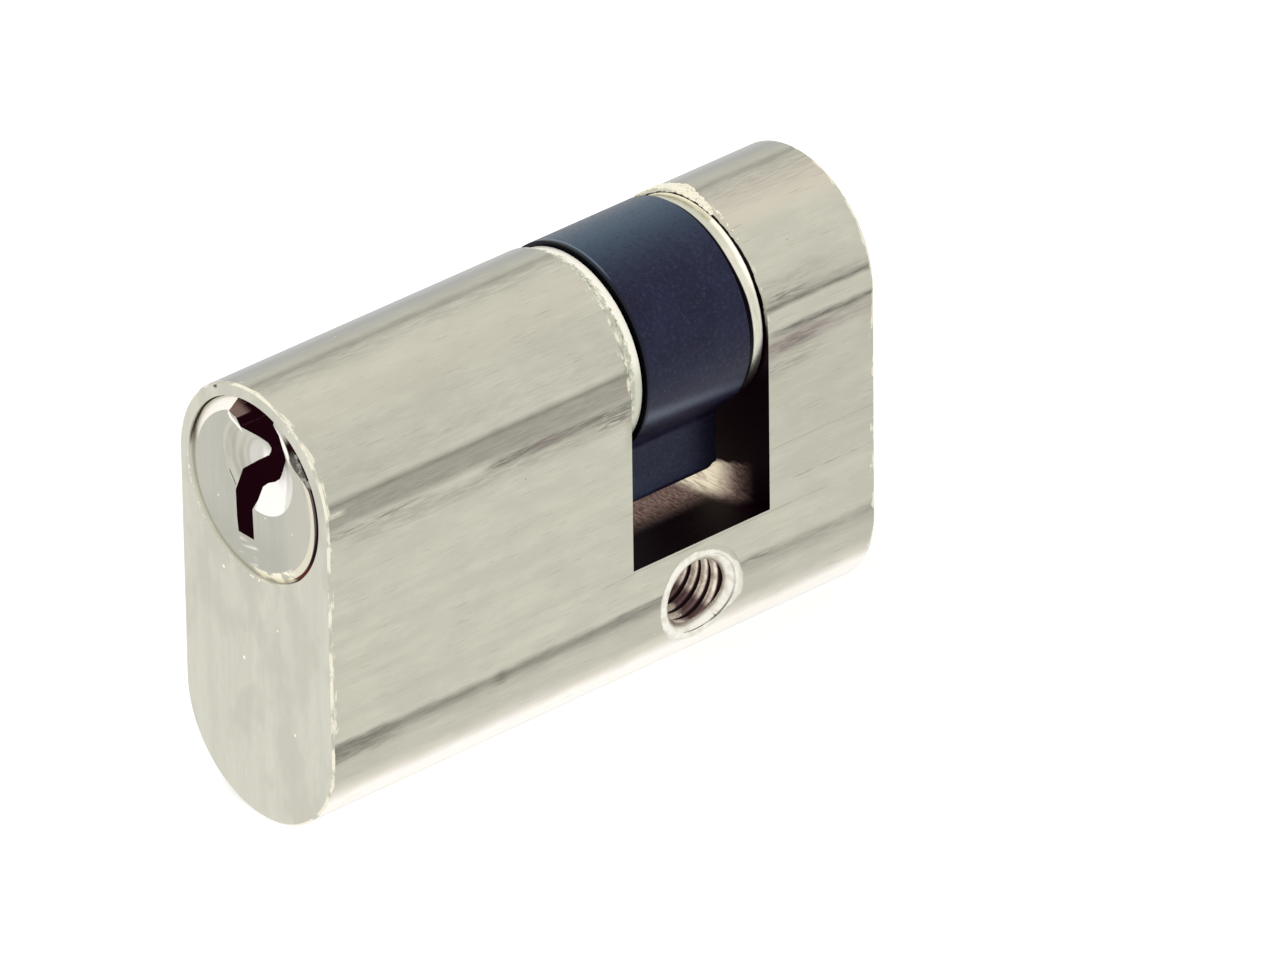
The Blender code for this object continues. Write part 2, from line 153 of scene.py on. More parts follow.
class Tone(Enum):
    """Colours that the marks and finishes are drawn with."""

    NICKEL = srgb(198, 196, 180)
    # painted reflections of the studio on the skin: warm along the top, blue-grey on the far side and
    # underneath
    WARM_REFLECTION = srgb(212, 203, 186)
    BLUE_REFLECTION = srgb(166, 167, 168)
    FACE = srgb(195, 197, 186)
    # streak tones: the long streaks are partly plating marks, partly painted reflections; also hairlines and
    # specks
    STREAK = srgb(104, 101, 93)
    SOFT_STREAK = srgb(140, 137, 126)
    MAUVE = srgb(138, 124, 122)
    # pale specks, scratches and slivers; on the skin's underside PALE and PINK are a painted reflection of
    # the floor
    PALE = srgb(255, 251, 243)
    CREAM = srgb(246, 241, 220)
    PINK = srgb(255, 240, 232)
    BARE_BRASS_DARK = srgb(92, 66, 58)
    # painted shade and a painted gleam of light in the slot
    SLOT_DARK = srgb(6, 0, 3)
    SLOT_GLEAM = srgb(233, 221, 193)
    # painted shade deep in the plug's bore
    HOLE_DARK = srgb(16, 4, 8)


@dataclass(frozen=True, eq=False)
class Value:
    """A number in a node tree. Its operators lay out Math nodes."""

    graph: "Graph"
    socket: bpy.types.NodeSocket

    def __add__(self, other: Any) -> "Value":
        """Return the sum."""
        return self.graph.math("ADD", self, other)

    def __sub__(self, other: Any) -> "Value":
        """Return the difference."""
        return self.graph.math("SUBTRACT", self, other)

    def __rsub__(self, other: float) -> "Value":
        """Return a plain number less this one."""
        return self.graph.math("SUBTRACT", other, self)

    def __mul__(self, other: Any) -> "Value":
        """Return the product."""
        return self.graph.math("MULTIPLY", self, other)

    def __lt__(self, other: Any) -> "Value":
        """Return 1 where this one is smaller, else 0."""
        return self.graph.math("LESS_THAN", self, other)

    def __gt__(self, other: Any) -> "Value":
        """Return 1 where this one is larger, else 0."""
        return self.graph.math("GREATER_THAN", self, other)

    def __abs__(self) -> "Value":
        """Return the size without its sign."""
        return self.graph.math("ABSOLUTE", self)


class Graph:
    """Short hands for laying out a node tree, in millimetres where a vector comes from place."""

    def __init__(self, tree: bpy.types.NodeTree) -> None:
        """Keep the tree that the nodes go into."""
        self.tree = tree

    def node(self, kind: str, given: dict[Any, Any] | None = None, **settings: Any) -> bpy.types.Node:
        """Add a node of a kind, with its settings and its inputs.

        Args:
            kind: Blender's name of the node's type.
            given: what goes into its inputs, by their name or number.
            settings: properties of the node, by name.

        Returns:
            The new node.
        """
        made = self.tree.nodes.new(kind)
        for name, value in settings.items():
            setattr(made, name, value)
        for key, value in (given or {}).items():
            self.feed(made.inputs[key], value)
        return made

    def take(self, kind: str, output: Any, given: dict[Any, Any] | None = None, **settings: Any) -> Value:
        """Add a node and return one of its outputs.

        Args:
            kind: Blender's name of the node's type.
            output: the output's name or number.
            given: what goes into its inputs, by their name or number.
            settings: properties of the node, by name.

        Returns:
            The output, as a value.
        """
        return Value(self, self.node(kind, given, **settings).outputs[output])

    def feed(self, socket: bpy.types.NodeSocket, value: Any) -> None:
        """Link a socket to an input, or write a plain value on it.

        Args:
            socket: the input.
            value: a value, a socket, a tone, a colour, or what else the input holds.
        """
        if isinstance(value, Value):
            value = value.socket
        if isinstance(value, Tone):
            value = value.value
        if isinstance(value, bpy.types.NodeSocket):
            self.tree.links.new(value, socket)
        elif isinstance(value, tuple) and len(value) == 3 and socket.type == "RGBA":
            socket.default_value = (*value, 1.0)
        else:
            socket.default_value = value

    def math(self, operation: str, *values: Any) -> Value:
        """Return the outcome of a Math node with the given inputs."""
        return self.take("ShaderNodeMath", 0, dict(enumerate(values)), operation=operation)

    def ramp(self, value: Any, low: Any, high: Any, start: float = 0.0, end: float = 1.0) -> Value:
        """Step smoothly from one number to another.

        Args:
            value: what decides.
            low: the value where the step begins.
            high: the value where it ends.
            start: the outcome at or under low.
            end: the outcome at or over high.

        Returns:
            The outcome.
        """
        given = {"Value": value, "From Min": low, "From Max": high, "To Min": start, "To Max": end}
        return self.take("ShaderNodeMapRange", "Result", given, interpolation_type="SMOOTHSTEP")

    def fall(self, value: Any, low: Any, high: Any) -> Value:
        """Return 1 at or under low, 0 at or over high, smooth between."""
        return self.ramp(value, low, high, 1.0, 0.0)

    def within(self, value: Any, low: float, high: float, soft: float) -> Value:
        """Return 1 where value lies between low and high, with soft edges of that width."""
        return self.ramp(value, low - soft, low + soft) * self.fall(value, high - soft, high + soft)

    def mix(self, share: Any, first: Any, second: Any) -> Value:
        """Return a colour mixed from first to second by share."""
        return self.take("ShaderNodeMix", 2, {0: share, 6: first, 7: second}, data_type="RGBA")

    def blend(self, share: Any, first: Any, second: Any) -> Value:
        """Return a number mixed from first to second by share."""
        return self.take("ShaderNodeMix", 0, {0: share, 2: first, 3: second}, data_type="FLOAT")

    def place(self, scale: Sequence[float] = (1.0, 1.0, 1.0)) -> Value:
        """Return the point on the piece in millimetres, stretched by scale."""
        given = {0: self.node("ShaderNodeTexCoord").outputs["Object"], 1: [value / MM for value in scale]}
        return self.take("ShaderNodeVectorMath", 0, given, operation="MULTIPLY_ADD")

    def split(self, vector: Any) -> tuple[Value, ...]:
        """Return a vector's three parts."""
        return tuple(Value(self, part) for part in self.node("ShaderNodeSeparateXYZ", {0: vector}).outputs)

    def join(self, x: Any, y: Any, z: Any) -> Value:
        """Return a vector made from three numbers."""
        return self.take("ShaderNodeCombineXYZ", 0, {0: x, 1: y, 2: z})

    def noise(self, vector: Any, scale: float, detail: float = 2.0, roughness: float = 0.5) -> Value:
        """Return a noise value, 0 to 1 and mostly near the middle, at a vector in millimetres."""
        given = {"Vector": vector, "Scale": scale, "Detail": detail, "Roughness": roughness}
        return self.take("ShaderNodeTexNoise", "Fac", given)

    def outcomes(self, node: bpy.types.Node) -> dict[str, Value]:
        """Return a node's outputs by name."""
        return {socket.name: Value(self, socket) for socket in node.outputs if socket.name}

    def group(self, tree: bpy.types.NodeTree, **values: Any) -> dict[str, Value]:
        """Place a node group.

        Args:
            tree: the group.
            values: its inputs by name, with spaces as underscores.

        Returns:
            The group's outputs by name.
        """
        given = {name.replace("_", " "): value for name, value in values.items()}
        return self.outcomes(self.node("ShaderNodeGroup", given, node_tree=tree))


def shader_group(
    name: str, inputs: dict[str, tuple[str, Any]], outputs: Sequence[str]
) -> tuple[bpy.types.NodeTree, Graph, dict[str, Value], bpy.types.Node]:
    """Start a shader node group.

    Args:
        name: the group's name.
        inputs: each input's name, with its socket type and default value.
        outputs: the names of the outputs, which are numbers.

    Returns:
        The tree, a Graph on it, its inputs by name and its output node.
    """
    tree = bpy.data.node_groups.new(name, "ShaderNodeTree")
    for label, (kind, value) in inputs.items():
        socket = tree.interface.new_socket(name=label, in_out="INPUT", socket_type=kind)
        socket.default_value = value
    for label in outputs:
        tree.interface.new_socket(name=label, in_out="OUTPUT", socket_type=NUMBER)
    graph = Graph(tree)
    given = graph.outcomes(graph.node("NodeGroupInput"))
    return tree, graph, given, graph.node("NodeGroupOutput")


class SharedEffects:
    """Shader node groups that more than one finish uses, each built once."""

    def __init__(self) -> None:
        """Build the groups."""
        self.section = self._section()
        self.band_noise = self._band_noise()
        self.mark = self._mark()
        self.grain = self._grain()
        self.specks = self._specks()

    @staticmethod
    def _section() -> bpy.types.NodeTree:
        """Find where a point lies on the oval.

        Returns:
            The group: around from the right flat's foot, along, and in from the skin.
        """
        tree, g, _, out = shader_group("oval_section", {}, ("Around", "Along", "Depth"))
        x, y, z = g.split(g.place())
        flat = g.math("MINIMUM", g.math("MAXIMUM", z, 0.0), AXIS_Z)
        beyond = z - flat
        across = abs(x)
        turn = g.math("ARCTAN2", beyond, across)
        right = g.math("MULTIPLY_ADD", turn, BODY_RADIUS, flat)
        left = 2 * AXIS_Z + math.pi * BODY_RADIUS - right
        on_left = x < 0.0
        g.feed(out.inputs["Around"], g.blend(on_left, right, left))
        g.feed(out.inputs["Along"], y)
        reach = g.math("SQRT", x * x + beyond * beyond)
        g.feed(out.inputs["Depth"], BODY_RADIUS - reach)
        return tree

    @staticmethod
    def _band_noise() -> bpy.types.NodeTree:
        """Lay out the noise along the skin that every long mark shares.

        Returns:
            The group: sway, swell, threads and hairs.
        """
        inputs = {"Around": (NUMBER, 0.0), "Along": (NUMBER, 0.0)}
        tree, g, given, out = shader_group("band_noise_fields", inputs, ("Sway", "Swell", "Threads", "Hairs"))
        around, along = given["Around"], given["Along"]
        sway = g.noise(g.join(around * 0.05, along * 0.16, 3.0), 1.0, 1.0)
        swell = g.noise(g.join(around * 0.6, along * 0.35, 9.0), 1.0, 3.0)
        threads = g.noise(g.join(around * 5.5, along * 0.5, 0.0), 1.0, 5.0, 0.65)
        hairs = g.noise(g.join(around * 9.0, along * 0.35, 5.0), 1.0, 3.0)
        g.feed(out.inputs["Sway"], (sway - 0.5) * 4.0)
        g.feed(out.inputs["Swell"], swell + 0.5)
        g.feed(out.inputs["Threads"], g.ramp(threads, 0.40, 0.60))
        g.feed(out.inputs["Hairs"], g.ramp(hairs, 0.63, 0.70))
        return tree

    @staticmethod
    def _mark() -> bpy.types.NodeTree:
        """Lay out one long mark: a band round the section, between two places along it.

        Returns:
            The group, which gives the mark's mask.
        """
        defaults = {
            "Around": 0.0, "Along": 0.0, "Sway": 0.0, "Swell": 1.0, "Threads": 1.0, "Centre": 0.0,
            "Half Width": 0.3, "Soft": 0.2, "Start": -32.0, "End": 15.0, "Fade": 2.0, "Drift": 0.2,
            "Breakup": 0.5,
        }
        inputs = {label: (NUMBER, value) for label, value in defaults.items()}
        tree, g, given, out = shader_group("long_mark", inputs, ("Mask",))
        along = given["Along"]
        drift = g.math("MULTIPLY_ADD", given["Sway"], given["Drift"], given["Around"])
        offset = abs(drift - given["Centre"])
        spread = g.math("MINIMUM", given["Half Width"], 0.5)
        half = g.math("MULTIPLY_ADD", given["Swell"] - 1.0, spread, given["Half Width"])
        soft = given["Soft"]
        band = g.ramp(half - offset, soft * -1.0, soft)
        fade = given["Fade"]
        start = g.ramp(along - given["Start"], fade * -1.0, fade)
        end = g.ramp(given["End"] - along, fade * -1.0, fade)
        broken = g.blend(given["Breakup"], 1.0, given["Threads"])
        g.feed(out.inputs["Mask"], band * broken * (start * end))
        return tree

    @staticmethod
    def _grain() -> bpy.types.NodeTree:
        """Lay out fine metal grain, stretched by the vector that is given.

        Returns:
            The group: a value about 0.5, and a height for bumps.
        """
        inputs = {"Vector": (VECTOR, BLACK), "Scale": (NUMBER, 1.0)}
        tree, g, given, out = shader_group("metal_grain", inputs, ("Value", "Height"))
        scaled = g.take("ShaderNodeVectorMath", 0, given, operation="SCALE")
        broad = g.noise(scaled, 0.35, 3.0, 0.55)
        fine = g.noise(scaled, 4.0, 4.0, 0.6)
        g.feed(out.inputs["Value"], g.blend(0.5, broad, fine))
        g.feed(out.inputs["Height"], fine)
        return tree

    @staticmethod
    def _specks() -> bpy.types.NodeTree:
        """Lay out small separate specks.

        Returns:
            The group: 1 inside a speck, 0 between them.
        """
        inputs = {"Vector": (VECTOR, BLACK)}
        inputs |= {"Scale": (NUMBER, 2.0), "Size": (NUMBER, 0.1), "Share": (NUMBER, 0.2)}
        tree, g, given, out = shader_group("specks", inputs, ("Mask",))
        cells = g.node("ShaderNodeTexVoronoi", {name: given[name] for name in ("Vector", "Scale")})
        size = given["Size"]
        dot = g.fall(cells.outputs["Distance"], size * 0.5, size)
        pick = g.split(cells.outputs["Color"])[0]
        chosen = pick < given["Share"]
        g.feed(out.inputs["Mask"], dot * chosen)
        return tree


@dataclass(frozen=True)
class Finish:
    """The plain numbers of a finish, which are the same all over it."""

    name: str
    colour: Colour
    metallic: float = 1.0
    roughness: float = 0.4
    specular: float = 0.5

    def start(self) -> tuple[bpy.types.Material, Graph, bpy.types.Node]:
        """Make the material with its plain numbers on the shader.

        Returns:
            The material, a Graph on its tree and its Principled shader.
        """
        material = bpy.data.materials.new(self.name)
        material.use_nodes = True
        graph = Graph(material.node_tree)
        shader = material.node_tree.nodes["Principled BSDF"]
        shader.inputs["Base Color"].default_value = (*self.colour, 1.0)
        shader.inputs["Metallic"].default_value = self.metallic
        shader.inputs["Roughness"].default_value = self.roughness
        shader.inputs["Specular IOR Level"].default_value = self.specular
        return material, graph, shader


def bump(g: Graph, shader: bpy.types.Node, height: Any, strength: float, distance_mm: float) -> None:
    """Lead a height into the shader's normal.

    Args:
        g: the material's graph.
        shader: its Principled shader.
        height: 0 to 1, low to high.
        strength: how much of it counts.
        distance_mm: how high 1 stands.
    """
    made = g.node("ShaderNodeBump")
    made.inputs["Strength"].default_value = strength
    made.inputs["Distance"].default_value = distance_mm * MM
    g.feed(made.inputs["Height"], height)
    g.feed(shader.inputs["Normal"], made.outputs["Normal"])


def distance(g: Graph, first: Any, second: Any) -> Any:
    """Return the length of a two-part step, in a node tree."""
    squares = first * first + second * second
    return g.math("SQRT", squares)


@dataclass(frozen=True)
class Grained:
    """A finish that is drawn with the shared shader groups."""

    effects: SharedEffects


@dataclass(frozen=True)
class LongMark:
    """A band along the skin: partly a mark that the drawing of the bar or the plating left, partly a painted
    reflection.
    """

    around: float
    half_width: float
    soft: float
    strength: float
    tone: Tone = Tone.STREAK
    start: float = -40.0
    end: float = 24.0
    fade: float = 2.0
    breakup: float = 0.4
    drift: float = 0.04


SKIN_MARKS_AND_REFLECTIONS = (
    # top, from the warm band over the ridge to the far side: painted reflections of the studio, and streaks
    LongMark(26.6, 1.5, 1.3, 0.45, Tone.WARM_REFLECTION, end=4.0, fade=8.0, breakup=0.5, drift=0.2),
    LongMark(27.0, 1.6, 0.9, 0.7, Tone.WARM_REFLECTION, start=6.0, breakup=0.2, drift=0.1),
    LongMark(33.7, 2.3, 0.9, 0.8, Tone.BLUE_REFLECTION, breakup=0.1, drift=0.1),
    LongMark(31.2, 1.5, 0.6, 0.34, Tone.SOFT_STREAK, breakup=0.15, drift=0.1),
    LongMark(30.0, 0.3, 0.4, 0.75, Tone.SOFT_STREAK, breakup=0.3, drift=0.06),
    LongMark(29.2, 0.7, 0.6, 0.4, Tone.SOFT_STREAK, breakup=0.7, drift=0.1),
    # upper streaks of the flat, before the slot: partly plating marks, partly painted reflections
    LongMark(21.0, 0.8, 0.7, 0.22, Tone.SOFT_STREAK, end=-4.0, breakup=0.6),
    LongMark(19.5, 0.22, 0.34, 0.82, Tone.STREAK, end=-4.0, breakup=0.15),
    LongMark(18.6, 0.8, 0.45, 0.8, Tone.SOFT_STREAK, end=-4.0, breakup=0.2),
    LongMark(17.3, 0.38, 0.35, 0.9, Tone.STREAK, start=-18.3, end=-4.0, fade=1.2, breakup=0.45),
    LongMark(17.2, 0.3, 0.3, 0.5, Tone.MAUVE, start=-15.0, end=-10.0, fade=1.2, breakup=0.2),
    LongMark(17.3, 0.2, 0.3, 0.7, Tone.STREAK, start=-34.0, end=-24.0, fade=2.0, breakup=0.95),
    LongMark(16.5, 0.6, 0.5, 0.45, Tone.SOFT_STREAK, start=-31.0, end=-4.0, fade=3.0, breakup=0.7),
    LongMark(16.6, 0.3, 0.4, 0.7, Tone.STREAK, start=-9.0, end=-4.0, fade=1.0, breakup=0.95),
    LongMark(15.2, 1.1, 0.8, 0.35, Tone.MAUVE, start=-6.4, end=-5.0, fade=0.35, breakup=0.7),
    LongMark(11.0, 5.5, 3.0, 0.12, Tone.SOFT_STREAK, start=6.0, breakup=0.3),
    LongMark(28.0, 0.9, 0.8, 0.3, Tone.MAUVE, start=6.5, breakup=0.7, drift=0.1),
    LongMark(24.4, 2.2, 1.2, 0.1, Tone.MAUVE, end=-6.0, breakup=0.5, drift=0.1),
    LongMark(18.9, 0.25, 0.1, 0.6, Tone.CREAM, start=-33.0, end=-30.9, fade=0.5, breakup=0.95),
    # upper streaks behind the slot: partly plating marks, partly painted reflections
    LongMark(21.1, 0.5, 0.4, 0.3, Tone.SOFT_STREAK, start=5.0, end=12.5, fade=2.0, breakup=0.8),
    LongMark(19.55, 0.2, 0.22, 0.9, Tone.STREAK, start=5.0, breakup=0.4),
    LongMark(19.9, 0.4, 0.3, 0.5, Tone.SOFT_STREAK, start=5.0, breakup=0.5),
    LongMark(17.6, 0.26, 0.25, 0.9, Tone.STREAK, start=6.4, fade=1.0, breakup=0.45),
    LongMark(16.5, 0.7, 0.4, 0.85, Tone.MAUVE, start=5.0, end=10.5, fade=3.0, breakup=0.35, drift=0.1),
    LongMark(16.8, 0.6, 0.5, 0.5, Tone.MAUVE, start=8.0, breakup=0.5, drift=0.1),
    LongMark(20.1, 0.35, 0.3, 0.6, Tone.STREAK, start=6.2, end=9.5, fade=1.0, breakup=0.95),
    LongMark(16.5, 0.35, 0.3, 0.4, Tone.STREAK, start=5.0, end=10.5, fade=1.0, breakup=0.8),
    LongMark(15.0, 0.5, 0.5, 0.5, Tone.SOFT_STREAK, start=5.0, end=11.0, breakup=0.8, drift=0.1),
    LongMark(8.8, 0.04, 0.12, 0.45, Tone.SOFT_STREAK, start=-8.0, breakup=0.6),
    LongMark(5.85, 0.03, 0.05, 0.9, Tone.STREAK, start=8.5, end=15.2, fade=0.5, breakup=0.9),
    LongMark(4.0, 0.04, 0.1, 0.5, Tone.STREAK, start=-8.6, end=11.0, fade=0.8, breakup=0.7),
    # lower streaks: partly plating marks, partly painted reflections
    LongMark(0.6, 0.7, 0.3, 0.8, Tone.STREAK, end=-27.5, fade=2.0, breakup=0.55),
    LongMark(0.85, 0.35, 0.35, 0.72, Tone.STREAK, end=-3.0, fade=1.5, breakup=0.25),
    LongMark(0.5, 0.6, 0.5, 0.45, Tone.SOFT_STREAK, breakup=0.3),
    LongMark(0.75, 0.5, 0.35, 0.6, Tone.STREAK, start=-18.2, end=-17.3, fade=0.5, breakup=0.4),
    LongMark(1.2, 0.05, 0.12, 0.8, Tone.STREAK, start=-7.5, end=-2.5, fade=1.0, breakup=0.4),
    LongMark(0.95, 0.15, 0.3, 0.75, Tone.STREAK, start=3.2, end=6.5, fade=1.0, breakup=0.9),
    LongMark(0.8, 0.2, 0.4, 0.5, Tone.SOFT_STREAK, start=5.0, breakup=0.6),
    LongMark(-1.2, 1.0, 0.6, 0.12, Tone.SOFT_STREAK, breakup=0.4),
    # painted reflection of the floor along the underside: pink, pale and blue-grey bands
    LongMark(-3.7, 1.4, 0.8, 0.4, Tone.PINK, breakup=0.1, drift=0.1),
    LongMark(-7.3, 4.0, 0.7, 1.0, Tone.PALE, breakup=0.02, drift=0.12),
    LongMark(-6.6, 0.9, 0.5, 0.14, Tone.BLUE_REFLECTION, breakup=0.3),
    # far side: streaks, partly plating marks, partly painted reflections
    LongMark(40.6, 0.2, 0.4, 0.6, Tone.STREAK, breakup=0.5, drift=0.1),
    LongMark(43.0, 0.5, 0.6, 0.5, Tone.SOFT_STREAK, start=-22.0, breakup=0.6, drift=0.1),
    LongMark(57.8, 0.3, 0.5, 0.6, Tone.STREAK, end=12.0, breakup=0.6, drift=0.1),
)


class SkinFinish(Grained):
    """Nickel plate on drawn brass: the oval's long side, streaked partly by drawing and handling, partly by
    painted reflections.
    """

    plain = Finish("nickel_skin", Tone.NICKEL.value, metallic=1.0, roughness=0.42)

    def build(self) -> bpy.types.Material:
        """Draw the finish.

        Returns:
            The material for the skin.
        """
        material, g, shader = self.plain.start()
        section = g.group(self.effects.section)
        around, along = section["Around"], section["Along"]
        stretched = g.join(around * 3.0, along * 0.12, 0.0)
        grain = g.group(self.effects.grain, Vector=stretched, Scale=1.0)
        colour = g.mix(g.ramp(grain["Value"], 0.35, 0.65), srgb(195, 193, 177), srgb(205, 203, 187))
        clouds = g.noise(g.join(around * 0.5, along * 0.22, 2.0), 1.0, 4.0, 0.6)
        colour = g.mix(g.ramp(clouds, 0.4, 0.62, 0.0, 0.45), colour, srgb(188, 186, 172))
        # noise that breaks up the streaks and the painted reflections, and draws hairlines
        band_noise = g.group(self.effects.band_noise, Around=around, Along=along)
        shared = {name: band_noise[name] for name in ("Sway", "Swell", "Threads")}
        # the long streaks and the painted reflections of the studio: warm and blue-grey along the top, pale
        # underneath
        for mark in SKIN_MARKS_AND_REFLECTIONS:
            placed = g.group(
                self.effects.mark, Around=around, Along=along, Centre=mark.around, Half_Width=mark.half_width,
                Soft=mark.soft, Start=mark.start, End=mark.end, Fade=mark.fade, Drift=mark.drift,
                Breakup=mark.breakup, **shared,
            )
            colour = g.mix(placed["Mask"] * mark.strength, colour, mark.tone)
        colour = g.mix(band_noise["Hairs"] * 0.35, colour, Tone.SOFT_STREAK)
        pale, dark = self._cheek_chips(g, around, along)
        colour = g.mix(dark * 0.6, colour, srgb(142, 144, 124))
        colour = g.mix(pale * 0.75, colour, Tone.CREAM)
        colour = g.mix(self._edge_light(g, around, along), colour, Tone.CREAM)
        for seed, tone in ((0.0, Tone.PALE), (40.0, Tone.STREAK)):
            at = g.join(around, along, seed)
            spots = g.group(self.effects.specks, Vector=at, Scale=0.6, Size=0.05, Share=0.12)
            colour = g.mix(spots["Mask"] * 0.6, colour, tone)
        g.feed(shader.inputs["Base Color"], colour)
        bump(g, shader, grain["Height"], 0.35, 0.02)
        return material

    def _edge_light(self, g: Graph, around: Any, along: Any) -> Any:
        """Find where the skin ends in a bright worn edge.

        Args:
            g: the material's graph.
            around: how far round the section the point lies.
            along: how far along the body it lies.

        Returns:
            The mask, at the end faces and at the slot's cheeks.
        """
        ragged = g.noise(g.join(around * 0.45, along * 2.0, 0.0), 1.4, 5.0, 0.6)
        reach = g.ramp(ragged, 0.48, 0.72, 0.0, 0.4)
        front = along - (FRONT_Y + 0.15) < reach
        rear = REAR_Y - 0.15 - along < reach
        cheek = abs(SLOT_FRONT_Y - along) < reach
        cheek_rear = abs(along - SLOT_REAR_Y) < reach
        high = g.ramp(around, 17.5, 19.0) * g.fall(around, 41.0, 42.0)
        ends = g.math("MAXIMUM", front, rear) * 0.7
        cheeks = g.math("MAXIMUM", cheek, cheek_rear) * (high * 0.5)
        burr_line = g.math("MULTIPLY_ADD", ragged - 0.5, 1.4, g.ramp(around, 28.0, 31.0, 0.2, 0.6))
        burr = along - SLOT_REAR_Y < burr_line
        burr = burr * (along > SLOT_REAR_Y - 0.3)
        burr = burr * g.within(around, 28.2, 37.6, 0.4)
        return g.math("MAXIMUM", g.math("MAXIMUM", ends, cheeks), burr * 0.8)

    @staticmethod
    def _cheek_chips(g: Graph, around: Any, along: Any) -> tuple[Any, Any]:
        """Find the chips on the skin just before the slot's front cheek.

        Args:
            g: the material's graph.
            around: how far round the section the point lies.
            along: how far along the body it lies.

        Returns:
            The masks of the pale ones and of the dark ones.
        """
        to_cheek = SLOT_FRONT_Y - along
        near = g.fall(to_cheek, 0.0, 0.8)
        near = near * (to_cheek > -0.05)
        near = near * g.within(around, 17.4, 26.5, 0.8)
        stretched = around * 0.6
        chips = g.noise(g.join(stretched, along, 0.0), 2.0, 4.0, 0.6)
        limit = g.math("MULTIPLY_ADD", near, -0.16, 0.66)
        pale = g.ramp(chips - limit, -0.03, 0.06)
        others = g.noise(g.join(stretched, along, 7.0), 2.2, 4.0, 0.6)
        dark = g.ramp(others - limit, -0.03, 0.06)
        return pale * near, dark * near


class EndFaceFinish(Grained):
    """Milled nickel end faces: upright milling marks, soft clouds and a few pale specks."""

    plain = Finish("nickel_end_face", Tone.FACE.value, metallic=1.0, roughness=0.40)

    def build(self) -> bpy.types.Material:
        """Draw the finish.

        Returns:
            The material for the end faces.
        """
        material, g, shader = self.plain.start()
        grain = g.group(self.effects.grain, Vector=g.place((3.0, 1.0, 0.22)), Scale=1.0)
        clouds = g.noise(g.place((1.0, 1.0, 0.6)), 0.35, 3.0)
        colour = g.mix(g.ramp(grain["Value"], 0.35, 0.65), srgb(205, 203, 189), srgb(214, 212, 198))
        colour = g.mix(g.ramp(clouds, 0.45, 0.62, 0.0, 0.6), colour, srgb(194, 193, 179))
        specks = g.group(self.effects.specks, Vector=g.place(), Scale=0.55, Size=0.09, Share=0.35)
        colour = g.mix(specks["Mask"], colour, Tone.PALE)
        x, y, z = g.split(g.place())
        up = z - AXIS_Z
        turn = g.math("ARCTAN2", up, x)
        fine = g.noise(g.place(), 2.4, 3.0, 0.7)
        rim = g.within(distance(g, x, up), BORE_RADIUS - 0.05, BORE_RADIUS + 0.16, 0.03)
        rim = rim * g.ramp(fine, 0.54, 0.60) * (turn < -1.5)
        key_side = y < 0.0
        rim = rim * key_side
        colour = g.mix(rim, colour, Tone.PALE)
        notch = g.fall(distance(g, x + 3.75, up - 6.5), 0.12, 0.34)
        notch = notch * key_side
        g.feed(shader.inputs["Base Color"], g.mix(notch, colour, srgb(88, 84, 76)))
        bump(g, shader, grain["Height"], 0.35, 0.02)
        return material


@dataclass(frozen=True)
class BrightEdgeFinish:
    """Cream plate on broken edges, countersinks and burrs, where cutters left bright chips.

    It turns to the darker colour where the noise goes from low to high.
    """

    name: str
    low: float
    high: float
    dark: Colour
    scale: float = 2.6
    plain = Finish("bright_edge", Tone.CREAM.value, metallic=0.9, roughness=0.36)

    def build(self) -> bpy.types.Material:
        """Draw the finish.

        Returns:
            The material, under the name that was given.
        """
        material, g, shader = self.plain.start()
        material.name = self.name
        chips = g.noise(g.place((1.0, 2.2, 1.0)), self.scale, 5.0, 0.6)
        g.feed(shader.inputs["Base Color"], g.mix(g.ramp(chips, self.low, self.high), Tone.CREAM, self.dark))
        bump(g, shader, chips, 0.4, 0.03)
        return material


class CollarFinish:
    """The thin collar that the cam turns against: plated as the skin above, bright and chipped below."""

    plain = Finish("bright_collar", Tone.CREAM.value, metallic=0.95, roughness=0.36)

    def build(self) -> bpy.types.Material:
        """Draw the finish.

        Returns:
            The material for the collar.
        """
        material, g, shader = self.plain.start()
        _, y, z = g.split(g.place())
        chips = g.noise(g.place((1.0, 1.3, 1.0)), 1.9, 5.0, 0.65)
        back = g.math("MULTIPLY_ADD", chips - 0.5, 0.8, y - SLOT_FRONT_Y)
        colour = g.mix(g.ramp(chips, 0.46, 0.60), srgb(190, 190, 172), srgb(228, 226, 208))
        dents = g.noise(g.place((1.0, 1.3, 1.0)), 2.3, 4.0, 0.65)
        colour = g.mix(g.ramp(dents, 0.54, 0.64, 0.0, 0.85), colour, srgb(134, 138, 114))
        # the bright band turns darker low down in the slot: painted shade
        bright = g.mix(g.ramp(z, 18.2, 20.2), srgb(212, 212, 194), srgb(250, 247, 232))
        colour = g.mix(g.ramp(back, 0.55, 0.75), colour, bright)
        g.feed(shader.inputs["Base Color"], colour)
        bump(g, shader, chips, 0.4, 0.03)
        return material


